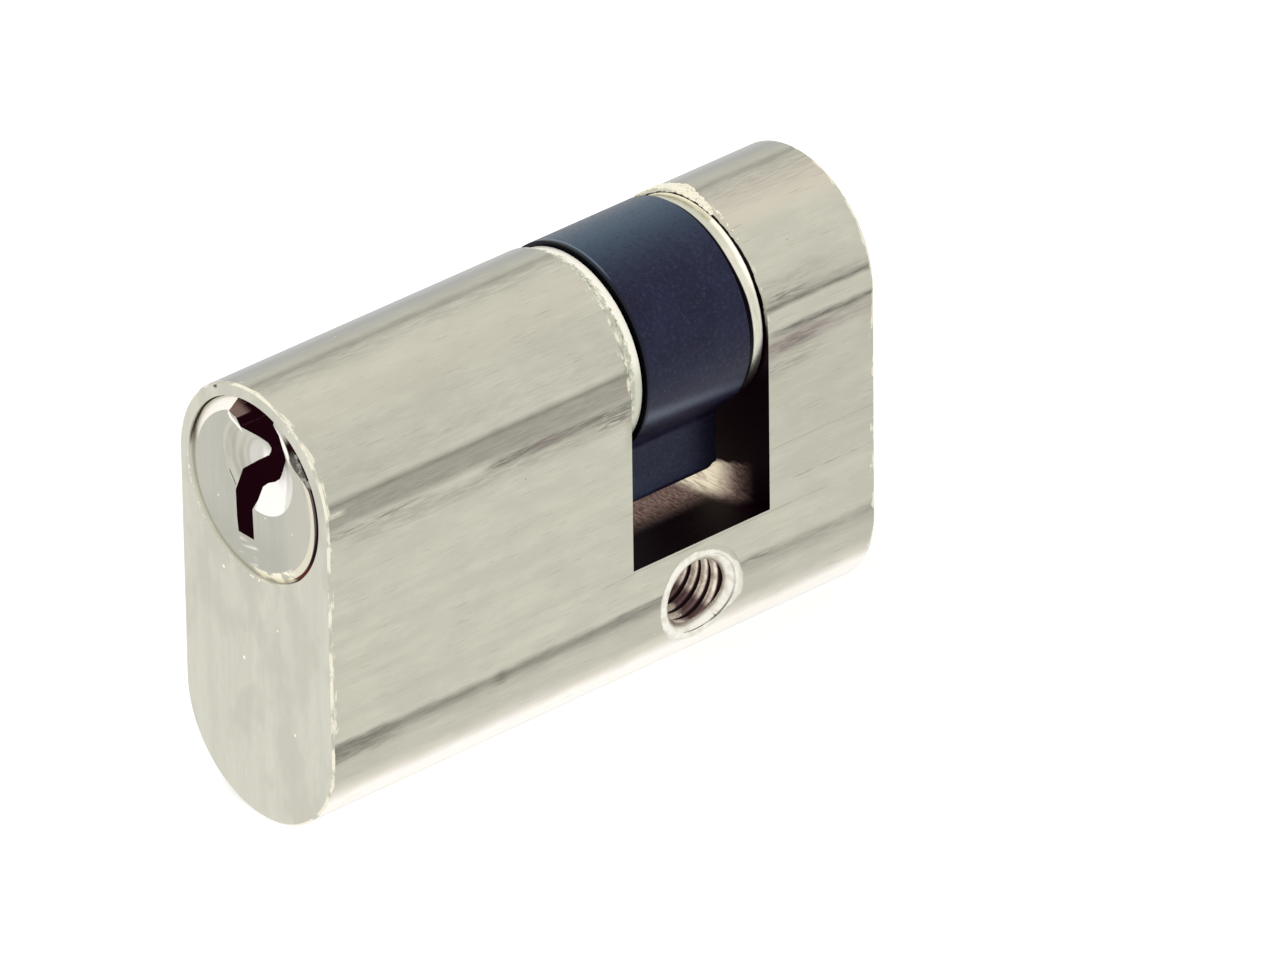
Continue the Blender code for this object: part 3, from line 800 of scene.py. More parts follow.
class BoreFinish(Grained):
    """The plug's bore: plated at its mouth, dark with painted shade further in, and with a painted glow on
    the mouth's lower left.
    """

    plain = Finish("plug_bore", Tone.HOLE_DARK.value, metallic=0.95, roughness=0.4)

    def build(self) -> bpy.types.Material:
        """Draw the finish.

        Returns:
            The material for the wall of the plug's bore.
        """
        material, g, shader = self.plain.start()
        x, y, z = g.split(g.place())
        turn = g.math("ARCTAN2", z - AXIS_Z, x)
        grain = g.group(self.effects.grain, Vector=g.place((1.0, 3.0, 1.0)), Scale=1.5)
        mouth = g.mix(g.ramp(grain["Value"], 0.4, 0.6), srgb(196, 194, 180), srgb(214, 211, 196))
        off_top = abs(turn - 1.9)
        foot = g.within(off_top, 2.9, 3.7, 0.1) * 0.3
        reach = 0.85 - foot
        depth = y - FRONT_Y
        # a painted dark line of shade in the mouth, from the upper right over the top to the left
        first = g.ramp(turn, 2.2, 3.0, 0.36, 0.13)
        last = first + g.ramp(turn, 2.2, 2.6, 0.5, 0.07)
        line = g.ramp(depth - first, -0.02, 0.02)
        line = line * g.fall(depth - last, -0.02, 0.02)
        line = line * g.within(turn, 0.75, 3.02, 0.06)
        rim = g.fall(depth, reach - 0.03, reach)
        rim = rim * (1.0 - line)
        g.feed(shader.inputs["Base Color"], g.mix(rim, Tone.HOLE_DARK, mouth))
        # a painted glow on the lower left of the mouth
        lower_left = rim * g.ramp(off_top, 0.95, 1.25)
        g.feed(shader.inputs["Emission Color"], g.mix(lower_left, BLACK, srgb(138, 137, 128)))
        shader.inputs["Emission Strength"].default_value = 1.0
        g.feed(shader.inputs["Metallic"], g.blend(lower_left, 0.95, 0.6))
        bump(g, shader, grain["Height"], 0.3, 0.02)
        return material


class SlotFinish:
    """What the slot's cutter left, in painted light: dark reflections, painted brown light and a painted
    gleam at the floor's rear corner, all given off as a glow.
    """

    plain = Finish("cut_slot", srgb(10, 2, 6), metallic=0.9, roughness=0.5, specular=0.08)

    def build(self) -> bpy.types.Material:
        """Draw the finish.

        Returns:
            The material for the slot, and for the bores inside.
        """
        material, g, shader = self.plain.start()
        x, y, z = g.split(g.place())
        on_rear = g.ramp(y, SLOT_REAR_Y - 0.02, SLOT_REAR_Y - 0.01)
        mottle = g.noise(g.place((1.2, 3.0, 3.0)), 1.8, 5.0, 0.75)
        brown = g.mix(g.ramp(mottle, 0.36, 0.64), srgb(76, 54, 48), srgb(128, 108, 100))
        brown_light, gleam = self._light(g, x, y, z, on_rear)
        shade = g.mix(brown_light, Tone.SLOT_DARK, brown)
        shade = g.mix(gleam, shade, Tone.SLOT_GLEAM)
        rim = self._rim(g, x, z) * on_rear
        # the slot's whole look, rim included, is a painted glow through Emission Color: painted shade,
        # painted brown light and a painted gleam
        g.feed(shader.inputs["Emission Color"], g.mix(rim, shade, srgb(200, 197, 180)))
        shader.inputs["Emission Strength"].default_value = 1.0
        g.feed(shader.inputs["Metallic"], g.ramp(mottle, 0.3, 0.7, 0.8, 0.95))
        bump(g, shader, mottle, 0.35, 0.03)
        return material

    @staticmethod
    def _light(g: Graph, x: Any, y: Any, z: Any, on_rear: Any) -> tuple[Any, Any]:
        """Return how much painted brown light and how much painted gleam on the brushed marks shows beside
        and below the cam's lobe.

        Args:
            g: the material's graph.
            x: across the slot.
            y: along it.
            z: upwards.
            on_rear: 1 on the rear wall, 0 elsewhere.

        Returns:
            The painted brown light's mask and the painted gleam's mask.
        """
        brushed = g.noise(g.join(x * 0.5, y * 3.2, z * 2.6), 1.0, 4.0, 0.65)
        streaks = g.ramp(brushed, 0.36, 0.56, 0.4, 1.0)
        ragged = g.math("MULTIPLY_ADD", brushed, 0.8, -0.4)
        top = g.math("MULTIPLY_ADD", x, -0.35, z) + ragged
        wall = g.fall(top, 4.6, 5.0)
        near_wall = g.ramp(g.math("MULTIPLY_ADD", x, -0.15, y), 3.8, 5.3)
        side_brown = g.fall(x + ragged, 2.9, 6.2)
        side_gleam = g.fall(g.math("MULTIPLY_ADD", ragged, 1.8, x), 1.5, 4.4) * streaks
        floor_brown = g.math("MAXIMUM", g.fall(x, 1.2, 3.9), near_wall * side_brown)
        brown_light = g.blend(on_rear, floor_brown, wall * side_brown)
        return brown_light, side_gleam * g.blend(on_rear, near_wall, wall)

    @staticmethod
    def _rim(g: Graph, x: Any, z: Any) -> Any:
        """Find the chipped rim high up on the slot's walls, where the cutter broke out.

        Args:
            g: the material's graph.
            x: across.
            z: upwards.

        Returns:
            The rim's mask.
        """
        reach = distance(g, x, z - AXIS_Z)
        chips = g.noise(g.place(), 0.9, 3.0, 0.6)
        smooth = g.ramp(z, AXIS_Z + 5.0, AXIS_Z + 6.5, BODY_RADIUS - 0.16, BODY_RADIUS - 0.3)
        edge = smooth - g.ramp(chips, 0.4, 0.65, 0.0, 0.1)
        lower = g.ramp(z, 17.0, 22.0)
        return g.ramp(reach, edge - 0.03, edge + 0.03) * lower


class PlugFinish(Grained):
    """Nickel plate on the turned plug: grey face, chamfer and lead-in bright with painted highlights, keyway
    dark with painted shade and a painted glow.
    """

    plain = Finish("nickel_plated_plug", srgb(190, 190, 180), metallic=1.0, roughness=0.36)

    def build(self) -> bpy.types.Material:
        """Draw the finish.

        Returns:
            The material for the plug's solid.
        """
        material, g, shader = self.plain.start()
        x, y, z = g.split(g.place())
        up = z - AXIS_Z
        radius = distance(g, x, up)
        turn = g.math("ARCTAN2", up, x)
        depth = y - FACE_Y
        grain = g.group(self.effects.grain, Vector=g.place((3.0, 1.0, 0.25)), Scale=1.2)
        face = g.mix(g.ramp(grain["Value"], 0.35, 0.65), srgb(185, 184, 173), srgb(194, 192, 180))
        # the face darker towards its foot and lighter towards its right: painted shading
        face = g.mix(g.ramp(up, -4.5, -1.5, 0.6, 0.0), face, srgb(177, 176, 164))
        face = g.mix(g.ramp(x, 2.6, 4.4, 0.0, 0.7), face, srgb(198, 196, 183))
        specks = g.group(self.effects.specks, Vector=g.place(), Scale=0.8, Size=0.07, Share=0.3)
        face = g.mix(specks["Mask"], face, Tone.PALE)
        colour = g.mix(self._dashes(g, x, up), face, Tone.PALE)

        on_chamfer = g.ramp(radius, PLUG_RADIUS - PLUG_CHAMFER - 0.02, PLUG_RADIUS - PLUG_CHAMFER + 0.02)
        colour = g.mix(on_chamfer, colour, self._chamfer(g, radius, turn, grain["Value"]))
        below = depth > 0.02
        in_face = radius < PLUG_RADIUS - PLUG_CHAMFER - 0.02
        colour = g.mix(below * in_face, colour, self._inside(g, x, up, depth))
        colour = g.mix(self._slivers(g, x, up), colour, Tone.PALE)
        lean = g.math("MULTIPLY_ADD", x, 0.81, up * 0.59)
        cut = g.within(lean, -1.55, -1.49, 0.02) * g.within(x, -2.35, -1.68, 0.05)
        g.feed(shader.inputs["Base Color"], g.mix(cut, colour, srgb(60, 52, 50)))
        # the keyway's walls and a ledge in it get a painted glow through Emission Color
        keyway = below * in_face * self._on_wall(g)
        ledge = g.within(up, 4.95, 5.35, 0.05) * (x < -1.4)
        ledge = ledge * g.fall(depth, 0.7, 1.5)
        glow = g.mix(ledge, srgb(26, 5, 12), srgb(120, 100, 92))
        g.feed(shader.inputs["Emission Color"], g.mix(keyway, BLACK, glow))
        shader.inputs["Emission Strength"].default_value = 1.0
        bump(g, shader, grain["Height"], 0.3, 0.015)
        return material

    @staticmethod
    def _dashes(g: Graph, x: Any, up: Any) -> Any:
        """Find the short bright scratches under the keyway.

        Args:
            g: the material's graph.
            x: across.
            up: upwards from the plug's axis.

        Returns:
            Their mask.
        """
        lean = g.math("MULTIPLY_ADD", x, -0.16, up)
        lines = g.noise(g.join(lean * 2.2, x * 0.2, 4.0), 1.0, 2.0)
        patch = g.within(x, -1.3, 0.4, 0.3) * g.within(up, -5.6, -4.0, 0.3)
        return g.ramp(lines, 0.50, 0.60) * patch * 0.7

    @staticmethod
    def _slivers(g: Graph, x: Any, up: Any) -> Any:
        """Find the bright slivers beside the keyway's upper edges: partly chips from the lead-in's cutter,
        partly painted highlights.

        Args:
            g: the material's graph.
            x: across.
            up: upwards from the plug's axis.

        Returns:
            Their mask.
        """
        side = x - LEAD_IN_X
        rise = up - LEAD_IN_Z
        ring = g.within(distance(g, side, rise), LEAD_IN_RADIUS - 0.06, LEAD_IN_RADIUS + 0.2, 0.04)
        right = ring * (g.within(side, 1.25, 3.3, 0.1) * g.ramp(rise, 1.0, 1.6))
        lean = g.math("MULTIPLY_ADD", x, 0.76, up * 0.65)
        left = g.within(lean, 1.52, 1.78, 0.05) * g.within(x, -2.25, -1.3, 0.1)
        return g.math("MAXIMUM", right, left)

    @staticmethod
    def _chamfer(g: Graph, radius: Any, turn: Any, value: Any) -> Any:
        """Colour the chamfer: painted highlights in cream at the upper left and the foot, and at the right a
        lighter strip and a dark line of painted shade.

        Args:
            g: the material's graph.
            radius: how far from the plug's axis.
            turn: the direction from that axis, in radians.
            value: the grain.

        Returns:
            The colour.
        """
        colour = g.mix(g.ramp(value, 0.4, 0.6), srgb(190, 189, 177), srgb(200, 198, 184))
        upper_left = g.within(turn, 1.78, 2.85, 0.12)
        colour = g.mix(upper_left, colour, srgb(252, 247, 238))
        right = g.within(turn, -0.95, 1.02, 0.08)
        strip = g.ramp(radius, PLUG_RADIUS - 0.72, PLUG_RADIUS - 0.6)
        colour = g.mix(right * strip, colour, srgb(226, 220, 200))
        foot = g.within(turn, -1.6, -0.88, 0.1)
        patches = g.noise(g.join(turn * 5.0, radius, 1.0), 1.4, 2.0)
        colour = g.mix(foot * g.ramp(patches, 0.40, 0.50), colour, srgb(253, 248, 228))
        widened = g.ramp(turn, 0.36, 0.75, 0.0, 0.42)
        inner = g.ramp(turn, -0.9, 0.1, PLUG_RADIUS - 0.2, PLUG_RADIUS - 0.44) - widened
        line = g.ramp(radius - inner, -0.03, 0.03)
        rough = g.noise(g.place(), 1.7, 3.0, 0.65)
        spotted = g.ramp(rough, 0.52, 0.60) * g.within(turn, 0.42, 0.85, 0.06)
        dark = g.mix(g.fall(turn, -0.75, -0.45), srgb(30, 10, 14), srgb(96, 30, 24))
        patch = g.fall(radius, PLUG_RADIUS - 0.36, PLUG_RADIUS - 0.26) * g.fall(turn, 0.78, 0.9)
        dark = g.mix(patch * 0.8, dark, srgb(108, 102, 98))
        dark = g.mix(spotted * 0.55, dark, srgb(190, 187, 178))
        return g.mix(line * right, colour, dark)

    @staticmethod
    def _on_wall(g: Graph) -> Any:
        """Return 1 on walls that run straight in, as the keyway's do, and 0 on the lead-in's cone and end."""
        facing = g.split(g.node("ShaderNodeNewGeometry").outputs["True Normal"])[1]
        return abs(facing) < 0.2

    def _inside(self, g: Graph, x: Any, up: Any, depth: Any) -> Any:
        """Colour what lies under the face: the key's lead-in cone with a painted highlight on its lit half,
        and the keyway's walls dark with painted shade.

        Args:
            g: the material's graph.
            x: across.
            up: upwards from the plug's axis.
            depth: how far in from the plug's face.

        Returns:
            The colour.
        """
        side = x - LEAD_IN_X
        rise = up - LEAD_IN_Z
        reach = distance(g, side, rise)
        arcs = g.noise(g.join(reach * 1.9, rise * 0.25, 3.0), 1.0, 2.0)
        turned = g.mix(g.ramp(arcs, 0.35, 0.65), srgb(178, 177, 163), srgb(200, 198, 186))
        tip = g.fall(reach, 1.5, 1.8)
        turned = g.mix(tip * 0.7, turned, srgb(218, 216, 208))
        lit = g.fall(rise, 0.0, 1.4) * g.ramp(side, -0.6, -0.2)
        lit = lit * g.ramp(side, 2.45, 2.75, 1.0, 0.5)
        cone = g.mix(lit, turned, srgb(255, 253, 246))
        shade = g.noise(g.join(x, depth * 0.3, up), 1.6)
        walls = g.mix(shade, srgb(14, 3, 7), srgb(48, 16, 20))
        return g.mix(self._on_wall(g), cone, walls)


class CamFinish(Grained):
    """Blue-black oxide with fine dust, painted blue-grey sheens, a painted highlight along the front edge,
    and painted shade.
    """

    plain = Finish("blue_black_cam", srgb(22, 18, 44), metallic=0.0, roughness=0.36, specular=0.28)

    def build(self) -> bpy.types.Material:
        """Draw the finish.

        Returns:
            The material for the cam's solid.
        """
        material, g, shader = self.plain.start()
        grain = g.group(self.effects.grain, Vector=g.place((1.0, 0.5, 1.0)), Scale=2.0)
        shader.inputs["Specular Tint"].default_value = (0.62, 0.78, 1.0, 1.0)
        colour = g.mix(g.ramp(grain["Value"], 0.35, 0.65), srgb(20, 12, 38), srgb(30, 24, 54))
        clouds = g.noise(g.place((0.6, 1.0, 0.6)), 0.5, 3.0)
        colour = g.mix(g.ramp(clouds, 0.5, 0.7, 0.0, 0.4), colour, srgb(36, 40, 62))
        x, y, z = g.split(g.place())
        # painted light: a blue-grey sheen on the top, and a lighter lobe
        high = g.ramp(z, AXIS_Z + 5.8, AXIS_Z + 7.6) * g.ramp(x, -1.0, 3.5, 1.0, 0.25)
        colour = g.mix(high, colour, srgb(58, 78, 96))
        lobe = g.fall(z, AXIS_Z - 10.0, AXIS_Z - 8.6) * g.ramp(y, -4.0, 1.0, 0.75, 0.2)
        colour = g.mix(lobe, colour, srgb(54, 60, 82))
        # painted shade at the lobe's foot and its rear end, which also lowers the specular level there
        foot = g.math("MULTIPLY_ADD", y, -0.06, z)
        shade = g.ramp(foot, CAM_LOW.z + 0.25, CAM_LOW.z + 1.3, 0.95, 0.0)
        corner = g.ramp(y, 1.6, 4.4, 0.0, 0.7) * g.fall(z, 12.6, 13.6)
        dark = g.math("MAXIMUM", shade, corner)
        g.feed(shader.inputs["Specular IOR Level"], g.blend(dark, self.plain.specular, 0.03))
        # a painted sheen on the fold above the lobe, and painted shade under it
        fold = g.math("MULTIPLY_ADD", y, 0.1, z)
        sheen = g.within(fold, 14.4, 15.3, 0.5) * g.ramp(y, -4.0, 4.5, 0.95, 0.6)
        sheen = sheen * (x > 0.0)
        colour = g.mix(sheen, colour, srgb(96, 104, 120))
        under = g.within(fold, 12.8, 13.4, 0.5) * g.ramp(y, -4.0, 4.5, 0.55, 0.85)
        dark = g.math("MAXIMUM", dark, under)
        mottle = g.noise(g.place(), 3.2, 4.0, 0.75)
        colour = g.mix(g.ramp(mottle, 0.5, 0.66, 0.0, 0.5), colour, srgb(56, 62, 80))
        colour = g.mix(g.ramp(mottle, 0.34, 0.46, 0.5, 0.0), colour, srgb(8, 5, 22))
        dust = g.group(self.effects.specks, Vector=g.place(), Scale=4.5, Size=0.16, Share=0.12)
        colour = g.mix(dust["Mask"] * 0.45, colour, srgb(120, 126, 142))
        # the painted shade is laid on here
        colour = g.mix(dark, colour, srgb(6, 2, 12))
        # painted shade along the front rim beside the collar, and a painted highlight along the front edge at
        # the top
        rim = g.ramp(y, CAM_LOW.y + 0.14, CAM_LOW.y + 0.32, 0.95, 0.0)
        colour = g.mix(rim, colour, srgb(4, 2, 6))
        edge_highlight = g.within(y, CAM_LOW.y + 0.22, CAM_LOW.y + 0.34, 0.08) * g.ramp(z, 24.2, 25.0, 0.0, 0.8)
        colour = g.mix(edge_highlight, colour, srgb(118, 134, 150))
        g.feed(shader.inputs["Base Color"], colour)
        g.feed(shader.inputs["Roughness"], g.ramp(grain["Height"], 0.3, 0.7, 0.32, 0.46))
        bump(g, shader, grain["Height"], 0.25, 0.02)
        return material


@dataclass(frozen=True)
class PlainMetalFinish(Grained):
    """A turned or drawn metal for the smaller pieces, with a lighter tone in grain that is stretched."""

    plain: Finish
    light: Colour
    stretch: Sequence[float]

    def build(self) -> bpy.types.Material:
        """Draw the finish.

        Returns:
            The material, under its plain finish's name.
        """
        material, g, shader = self.plain.start()
        grain = g.group(self.effects.grain, Vector=g.place(self.stretch), Scale=2.0)
        colour = g.mix(g.ramp(grain["Value"], 0.35, 0.65), self.plain.colour, self.light)
        g.feed(shader.inputs["Base Color"], colour)
        rough = self.plain.roughness
        g.feed(shader.inputs["Roughness"], g.ramp(grain["Height"], 0.3, 0.7, rough - 0.06, rough + 0.08))
        bump(g, shader, grain["Height"], 0.3, 0.01)
        return material


class RingFinish(Grained):
    """The retaining ring behind the cam: bright edges, satin between, painted shadow of the cam at its front,
    painted reflection, shade and glow.
    """

    plain = Finish("bright_ring", srgb(220, 217, 199), metallic=1.0, roughness=0.3)

    def build(self) -> bpy.types.Material:
        """Draw the finish.

        Returns:
            The material for the retaining ring.
        """
        material, g, shader = self.plain.start()
        _, y, z = g.split(g.place())
        grain = g.group(self.effects.grain, Vector=g.place((1.0, 3.0, 1.0)), Scale=2.0)
        colour = g.mix(g.ramp(grain["Value"], 0.35, 0.65), srgb(208, 205, 188), srgb(228, 225, 208))
        low, high = box_mm("retaining_ring")
        back = y - low.y
        colour = g.mix(g.ramp(back, 0.95, 1.1), colour, srgb(246, 243, 230))
        # a painted grey-green reflection along the top
        top = g.ramp(z, high.z - 1.6, high.z - 0.7) * g.ramp(grain["Value"], 0.42, 0.52)
        colour = g.mix(top * 0.35, colour, srgb(158, 164, 144))
        # brown towards its foot: painted shade
        colour = g.mix(g.ramp(z, 11.5, 14.5, 0.85, 0.0), colour, srgb(96, 70, 56))
        # a painted glow near the top of its rear part
        lit = g.ramp(back, 0.7, 1.0) * g.ramp(z, high.z - 4.5, high.z - 2.5)
        g.feed(shader.inputs["Emission Color"], g.mix(lit, BLACK, srgb(178, 174, 160)))
        shader.inputs["Emission Strength"].default_value = 1.0
        reach = g.ramp(z, high.z - 5.0, high.z - 1.5, 0.36, 0.16)
        shadow = g.fall(back - reach, 0.0, 0.1)
        g.feed(shader.inputs["Base Color"], g.mix(shadow, colour, srgb(14, 8, 14)))
        bump(g, shader, grain["Height"], 0.3, 0.01)
        return material


class HoleLipFinish:
    """The tapped hole's mouth: cream where the cutter bared it, plated outside its burr, with a painted
    reflection low down and a painted dark line of shade.
    """

    plain = Finish("hole_mouth", Tone.CREAM.value, metallic=0.85, roughness=0.4)

    def build(self) -> bpy.types.Material:
        """Draw the finish.

        Returns:
            The material for the mouths of the tapped hole.
        """
        material, g, shader = self.plain.start()
        _, y, z = g.split(g.place())
        chips = g.noise(g.place(), 1.3, 4.0, 0.6)
        bare = g.mix(g.ramp(chips, 0.44, 0.66), srgb(249, 246, 235), srgb(229, 224, 210))
        # the plate paler low down: the skin's painted reflection of the floor
        skin = g.mix(g.ramp(z, -2.9, -1.6), srgb(240, 236, 226), srgb(199, 197, 181))
        cream = g.node("ShaderNodeAttribute", attribute_name="cream").outputs["Fac"]
        fading = (y > 2.3) * g.ramp(distance(g, y, z), 3.1, 3.7, 0.0, 0.75)
        bare = g.mix(fading, bare, g.mix(g.ramp(chips, 0.4, 0.6), skin, srgb(236, 232, 216)))
        colour = g.mix(cream, skin, bare)
        # a painted dark line of shade at the mouth's rear, lower edge
        line = g.within(distance(g, y, z), 2.98, 3.08, 0.03)
        line = line * (g.ramp(y, 0.9, 1.4) * g.ramp(z, -2.2, 0.2, 0.9, 0.3))
        g.feed(shader.inputs["Base Color"], g.mix(line, colour, srgb(122, 118, 106)))
        bump(g, shader, chips, 0.25, 0.03)
        return material


class ThreadFinish:
    """The tapped hole's turns: cream at the mouth, mauve and brown further in, with painted shade in a band
    and in the roots, and a painted glow.
    """

    plain = Finish("tapped_brass", srgb(206, 190, 190), metallic=0.8, roughness=0.38)

    def build(self) -> bpy.types.Material:
        """Draw the finish.

        Returns:
            The material for the thread's turns.
        """
        material, g, shader = self.plain.start()
        x, y, z = g.split(g.place())
        spots = g.noise(g.place((0.5, 1.0, 1.0)), 1.1, 4.0, 0.65)
        crest = g.mix(g.ramp(spots, 0.42, 0.62), srgb(236, 226, 210), srgb(192, 176, 166))
        # a dark band of painted shade across the hole
        turn = g.math("ARCTAN2", z, y)
        middle = g.math("MULTIPLY_ADD", abs(x), -0.04, -0.62)
        off = abs(g.math("MULTIPLY_ADD", spots, 0.7, turn) - middle)
        colour = g.mix(g.ramp(off, 0.2, 0.52, 0.95, 0.0), crest, srgb(82, 56, 60))
        # painted shade in the roots
        root = g.ramp(distance(g, y, z), SCREW_HOLE_RADIUS - 0.36, SCREW_HOLE_RADIUS - 0.22)
        colour = g.mix(root, colour, srgb(84, 60, 60))
        g.feed(shader.inputs["Base Color"], colour)
        # part of the colour given off as a painted glow
        g.feed(shader.inputs["Emission Color"], g.mix(g.blend(root, 0.25, 0.06), BLACK, colour))
        shader.inputs["Emission Strength"].default_value = 1.0
        bump(g, shader, spots, 0.3, 0.02)
        return material


class GeometryTree(Graph):
    """A Geometry Nodes tree with named inputs, and the steps that turn it into a plain mesh."""

    def __init__(self, name: str, on_solid: bool = False) -> None:
        """Start the tree with a geometry going out.

        Args:
            name: the tree's name.
            on_solid: whether it works on a solid's own mesh, which then comes in as Solid.
        """
        super().__init__(bpy.data.node_groups.new(name, "GeometryNodeTree"))
        self._socket("Geometry", "OUTPUT", "NodeSocketGeometry")
        if on_solid:
            self._socket("Solid", "INPUT", "NodeSocketGeometry")
        self.keys: dict[str, str] = {}
        self.given = self.node("NodeGroupInput")
        self.out = self.node("NodeGroupOutput")

    def _socket(self, label: str, side: str, kind: str) -> Any:
        """Add an input or an output to the tree."""
        return self.tree.interface.new_socket(name=label, in_out=side, socket_type=kind)

    def size(self, label: str, value: float | None = None, kind: str = NUMBER) -> Value:
        """Add a named input.

        Args:
            label: its name.
            value: what it holds unless it is set; none for a material.
            kind: Blender's name of the socket's type.

        Returns:
            What the input gives inside the tree.
        """
        socket = self._socket(label, "INPUT", kind)
        if value is not None:
            socket.default_value = value
        self.keys[label] = socket.identifier
        return Value(self, self.given.outputs[label])

    def sweep(self, curve: Any, section: Any) -> Value:
        """Return a section that is led along a curve, closed at both ends."""
        given = {"Curve": curve, "Profile Curve": section, "Fill Caps": True}
        return self.take("GeometryNodeCurveToMesh", 0, given)

    def helix(self, resolution: Any, turns: Any, radius: Any, height: Any) -> Value:
        """Lay out a helix round the Z axis.

        Args:
            resolution: points to a turn.
            turns: how many turns.
            radius: its radius.
            height: its length.

        Returns:
            The curve.
        """
        given = {
            "Resolution": resolution, "Rotations": turns, "Start Radius": radius, "End Radius": radius,
            "Height": height,
        }
        return self.take("GeometryNodeCurveSpiral", 0, given)

    def end(self, geometry: Value, material: Value) -> "GeometryTree":
        """Close the tree with real geometry that carries its material.

        Args:
            geometry: what was built.
            material: its material.

        Returns:
            The tree itself.
        """
        real = self.take("GeometryNodeRealizeInstances", 0, {0: geometry})
        given = {"Geometry": real, "Material": material}
        self.feed(self.out.inputs[0], self.take("GeometryNodeSetMaterial", 0, given))
        return self

    def mesh(self, name: str, values: dict[str, Any], turn: Matrix | None = None) -> bpy.types.Object:
        """Evaluate the tree with these inputs and keep the outcome as a plain mesh object.

        Args:
            name: the new object's name.
            values: the tree's inputs by label, in metres, turns, counts or a material.
            turn: a matrix that is applied to the mesh at the end.

        Returns:
            An object at the origin whose mesh holds the outcome.
        """
        holder = bpy.data.objects.new(f"{name}_source", bpy.data.meshes.new(f"{name}_source"))
        bpy.context.scene.collection.objects.link(holder)
        modifier = holder.modifiers.new("build", "NODES")
        modifier.node_group = self.tree
        for label, value in values.items():
            modifier[self.keys[label]] = value
        bpy.context.view_layer.update()
        evaluated = holder.evaluated_get(bpy.context.evaluated_depsgraph_get())
        mesh = bpy.data.meshes.new_from_object(evaluated)
        mesh.name = name
        bpy.data.objects.remove(holder)
        if turn is not None:
            mesh.transform(turn)
        return into_scene(name, mesh)


def into_scene(name: str, data: Any) -> bpy.types.Object:
    """Put a mesh, a lamp or a camera into the scene.

    Args:
        name: the new object's name.
        data: what it holds.

    Returns:
        The object, at the origin.
    """
    made = bpy.data.objects.new(name, data)
    bpy.context.scene.collection.objects.link(made)
    return made


@dataclass
class TappedHole:
    """The turns of the M6 thread in the cross hole."""

    outer_radius: float = SCREW_HOLE_RADIUS + 0.02
    ridge: float = 0.52
    pitch: float = 1.0
    root_width: float = 0.96
    crest_width: float = 0.34
    first_x: float = 1.345 - BODY_RADIUS
    last_x: float = BODY_RADIUS - 0.83
    last_degrees: float = 135.0
    steps_per_turn: int = 64

    def tree(self) -> GeometryTree:
        """Lay out the sweep of a ridge along a helix.

        Returns:
            The finished tree.
        """
        t = GeometryTree("tapped_thread")
        radius, turns, length = t.size("Radius", 0.003), t.size("Turns", 14.0), t.size("Length", 0.014)
        steps = t.size("Steps", 900, WHOLE)
        ridge = t.size("Ridge", 0.0005)
        root, crest = t.size("Half Root", 0.0005), t.size("Half Crest", 0.0001)
        material = t.size("Material", kind=MATERIAL)
        helix = t.helix(t.math("DIVIDE", steps, turns), turns, radius, length)
        upright = t.take("GeometryNodeSetCurveNormal", 0, {"Curve": helix}, mode="Z_UP")
        corners = ((0.0, root, -1), (ridge, crest, -1), (ridge, crest, 1), (0.0, root, 1))
        points = {
            f"Point {number}": t.join(depth, half * float(side), 0.0)
            for number, (depth, half, side) in enumerate(corners, 1)
        }
        section = t.take("GeometryNodeCurvePrimitiveQuadrilateral", 0, points, mode="POINTS")
        return t.end(t.sweep(upright, section), material)

    def build(self, material: bpy.types.Material) -> bpy.types.Object:
        """Make the thread's ridge along the screw's axis.

        Args:
            material: what it is made of.

        Returns:
            The ridge's object.
        """
        length = self.last_x - self.first_x
        turns = length / self.pitch
        values = {
            "Radius": self.outer_radius * MM, "Turns": turns, "Length": length * MM,
            "Steps": int(turns * self.steps_per_turn), "Ridge": self.ridge * MM,
            "Half Root": self.root_width / 2 * MM, "Half Crest": self.crest_width / 2 * MM,
            "Material": material,
        }
        start = math.radians(self.last_degrees) - 2 * math.pi * turns + math.pi / 2
        along_x = (
            Matrix.Rotation(start, 4, "X") @ Matrix.Translation((self.first_x * MM, 0, 0))
            @ Matrix.Rotation(math.pi / 2, 4, "Y")
        )
        return self.tree().mesh("screw_thread", values, along_x)


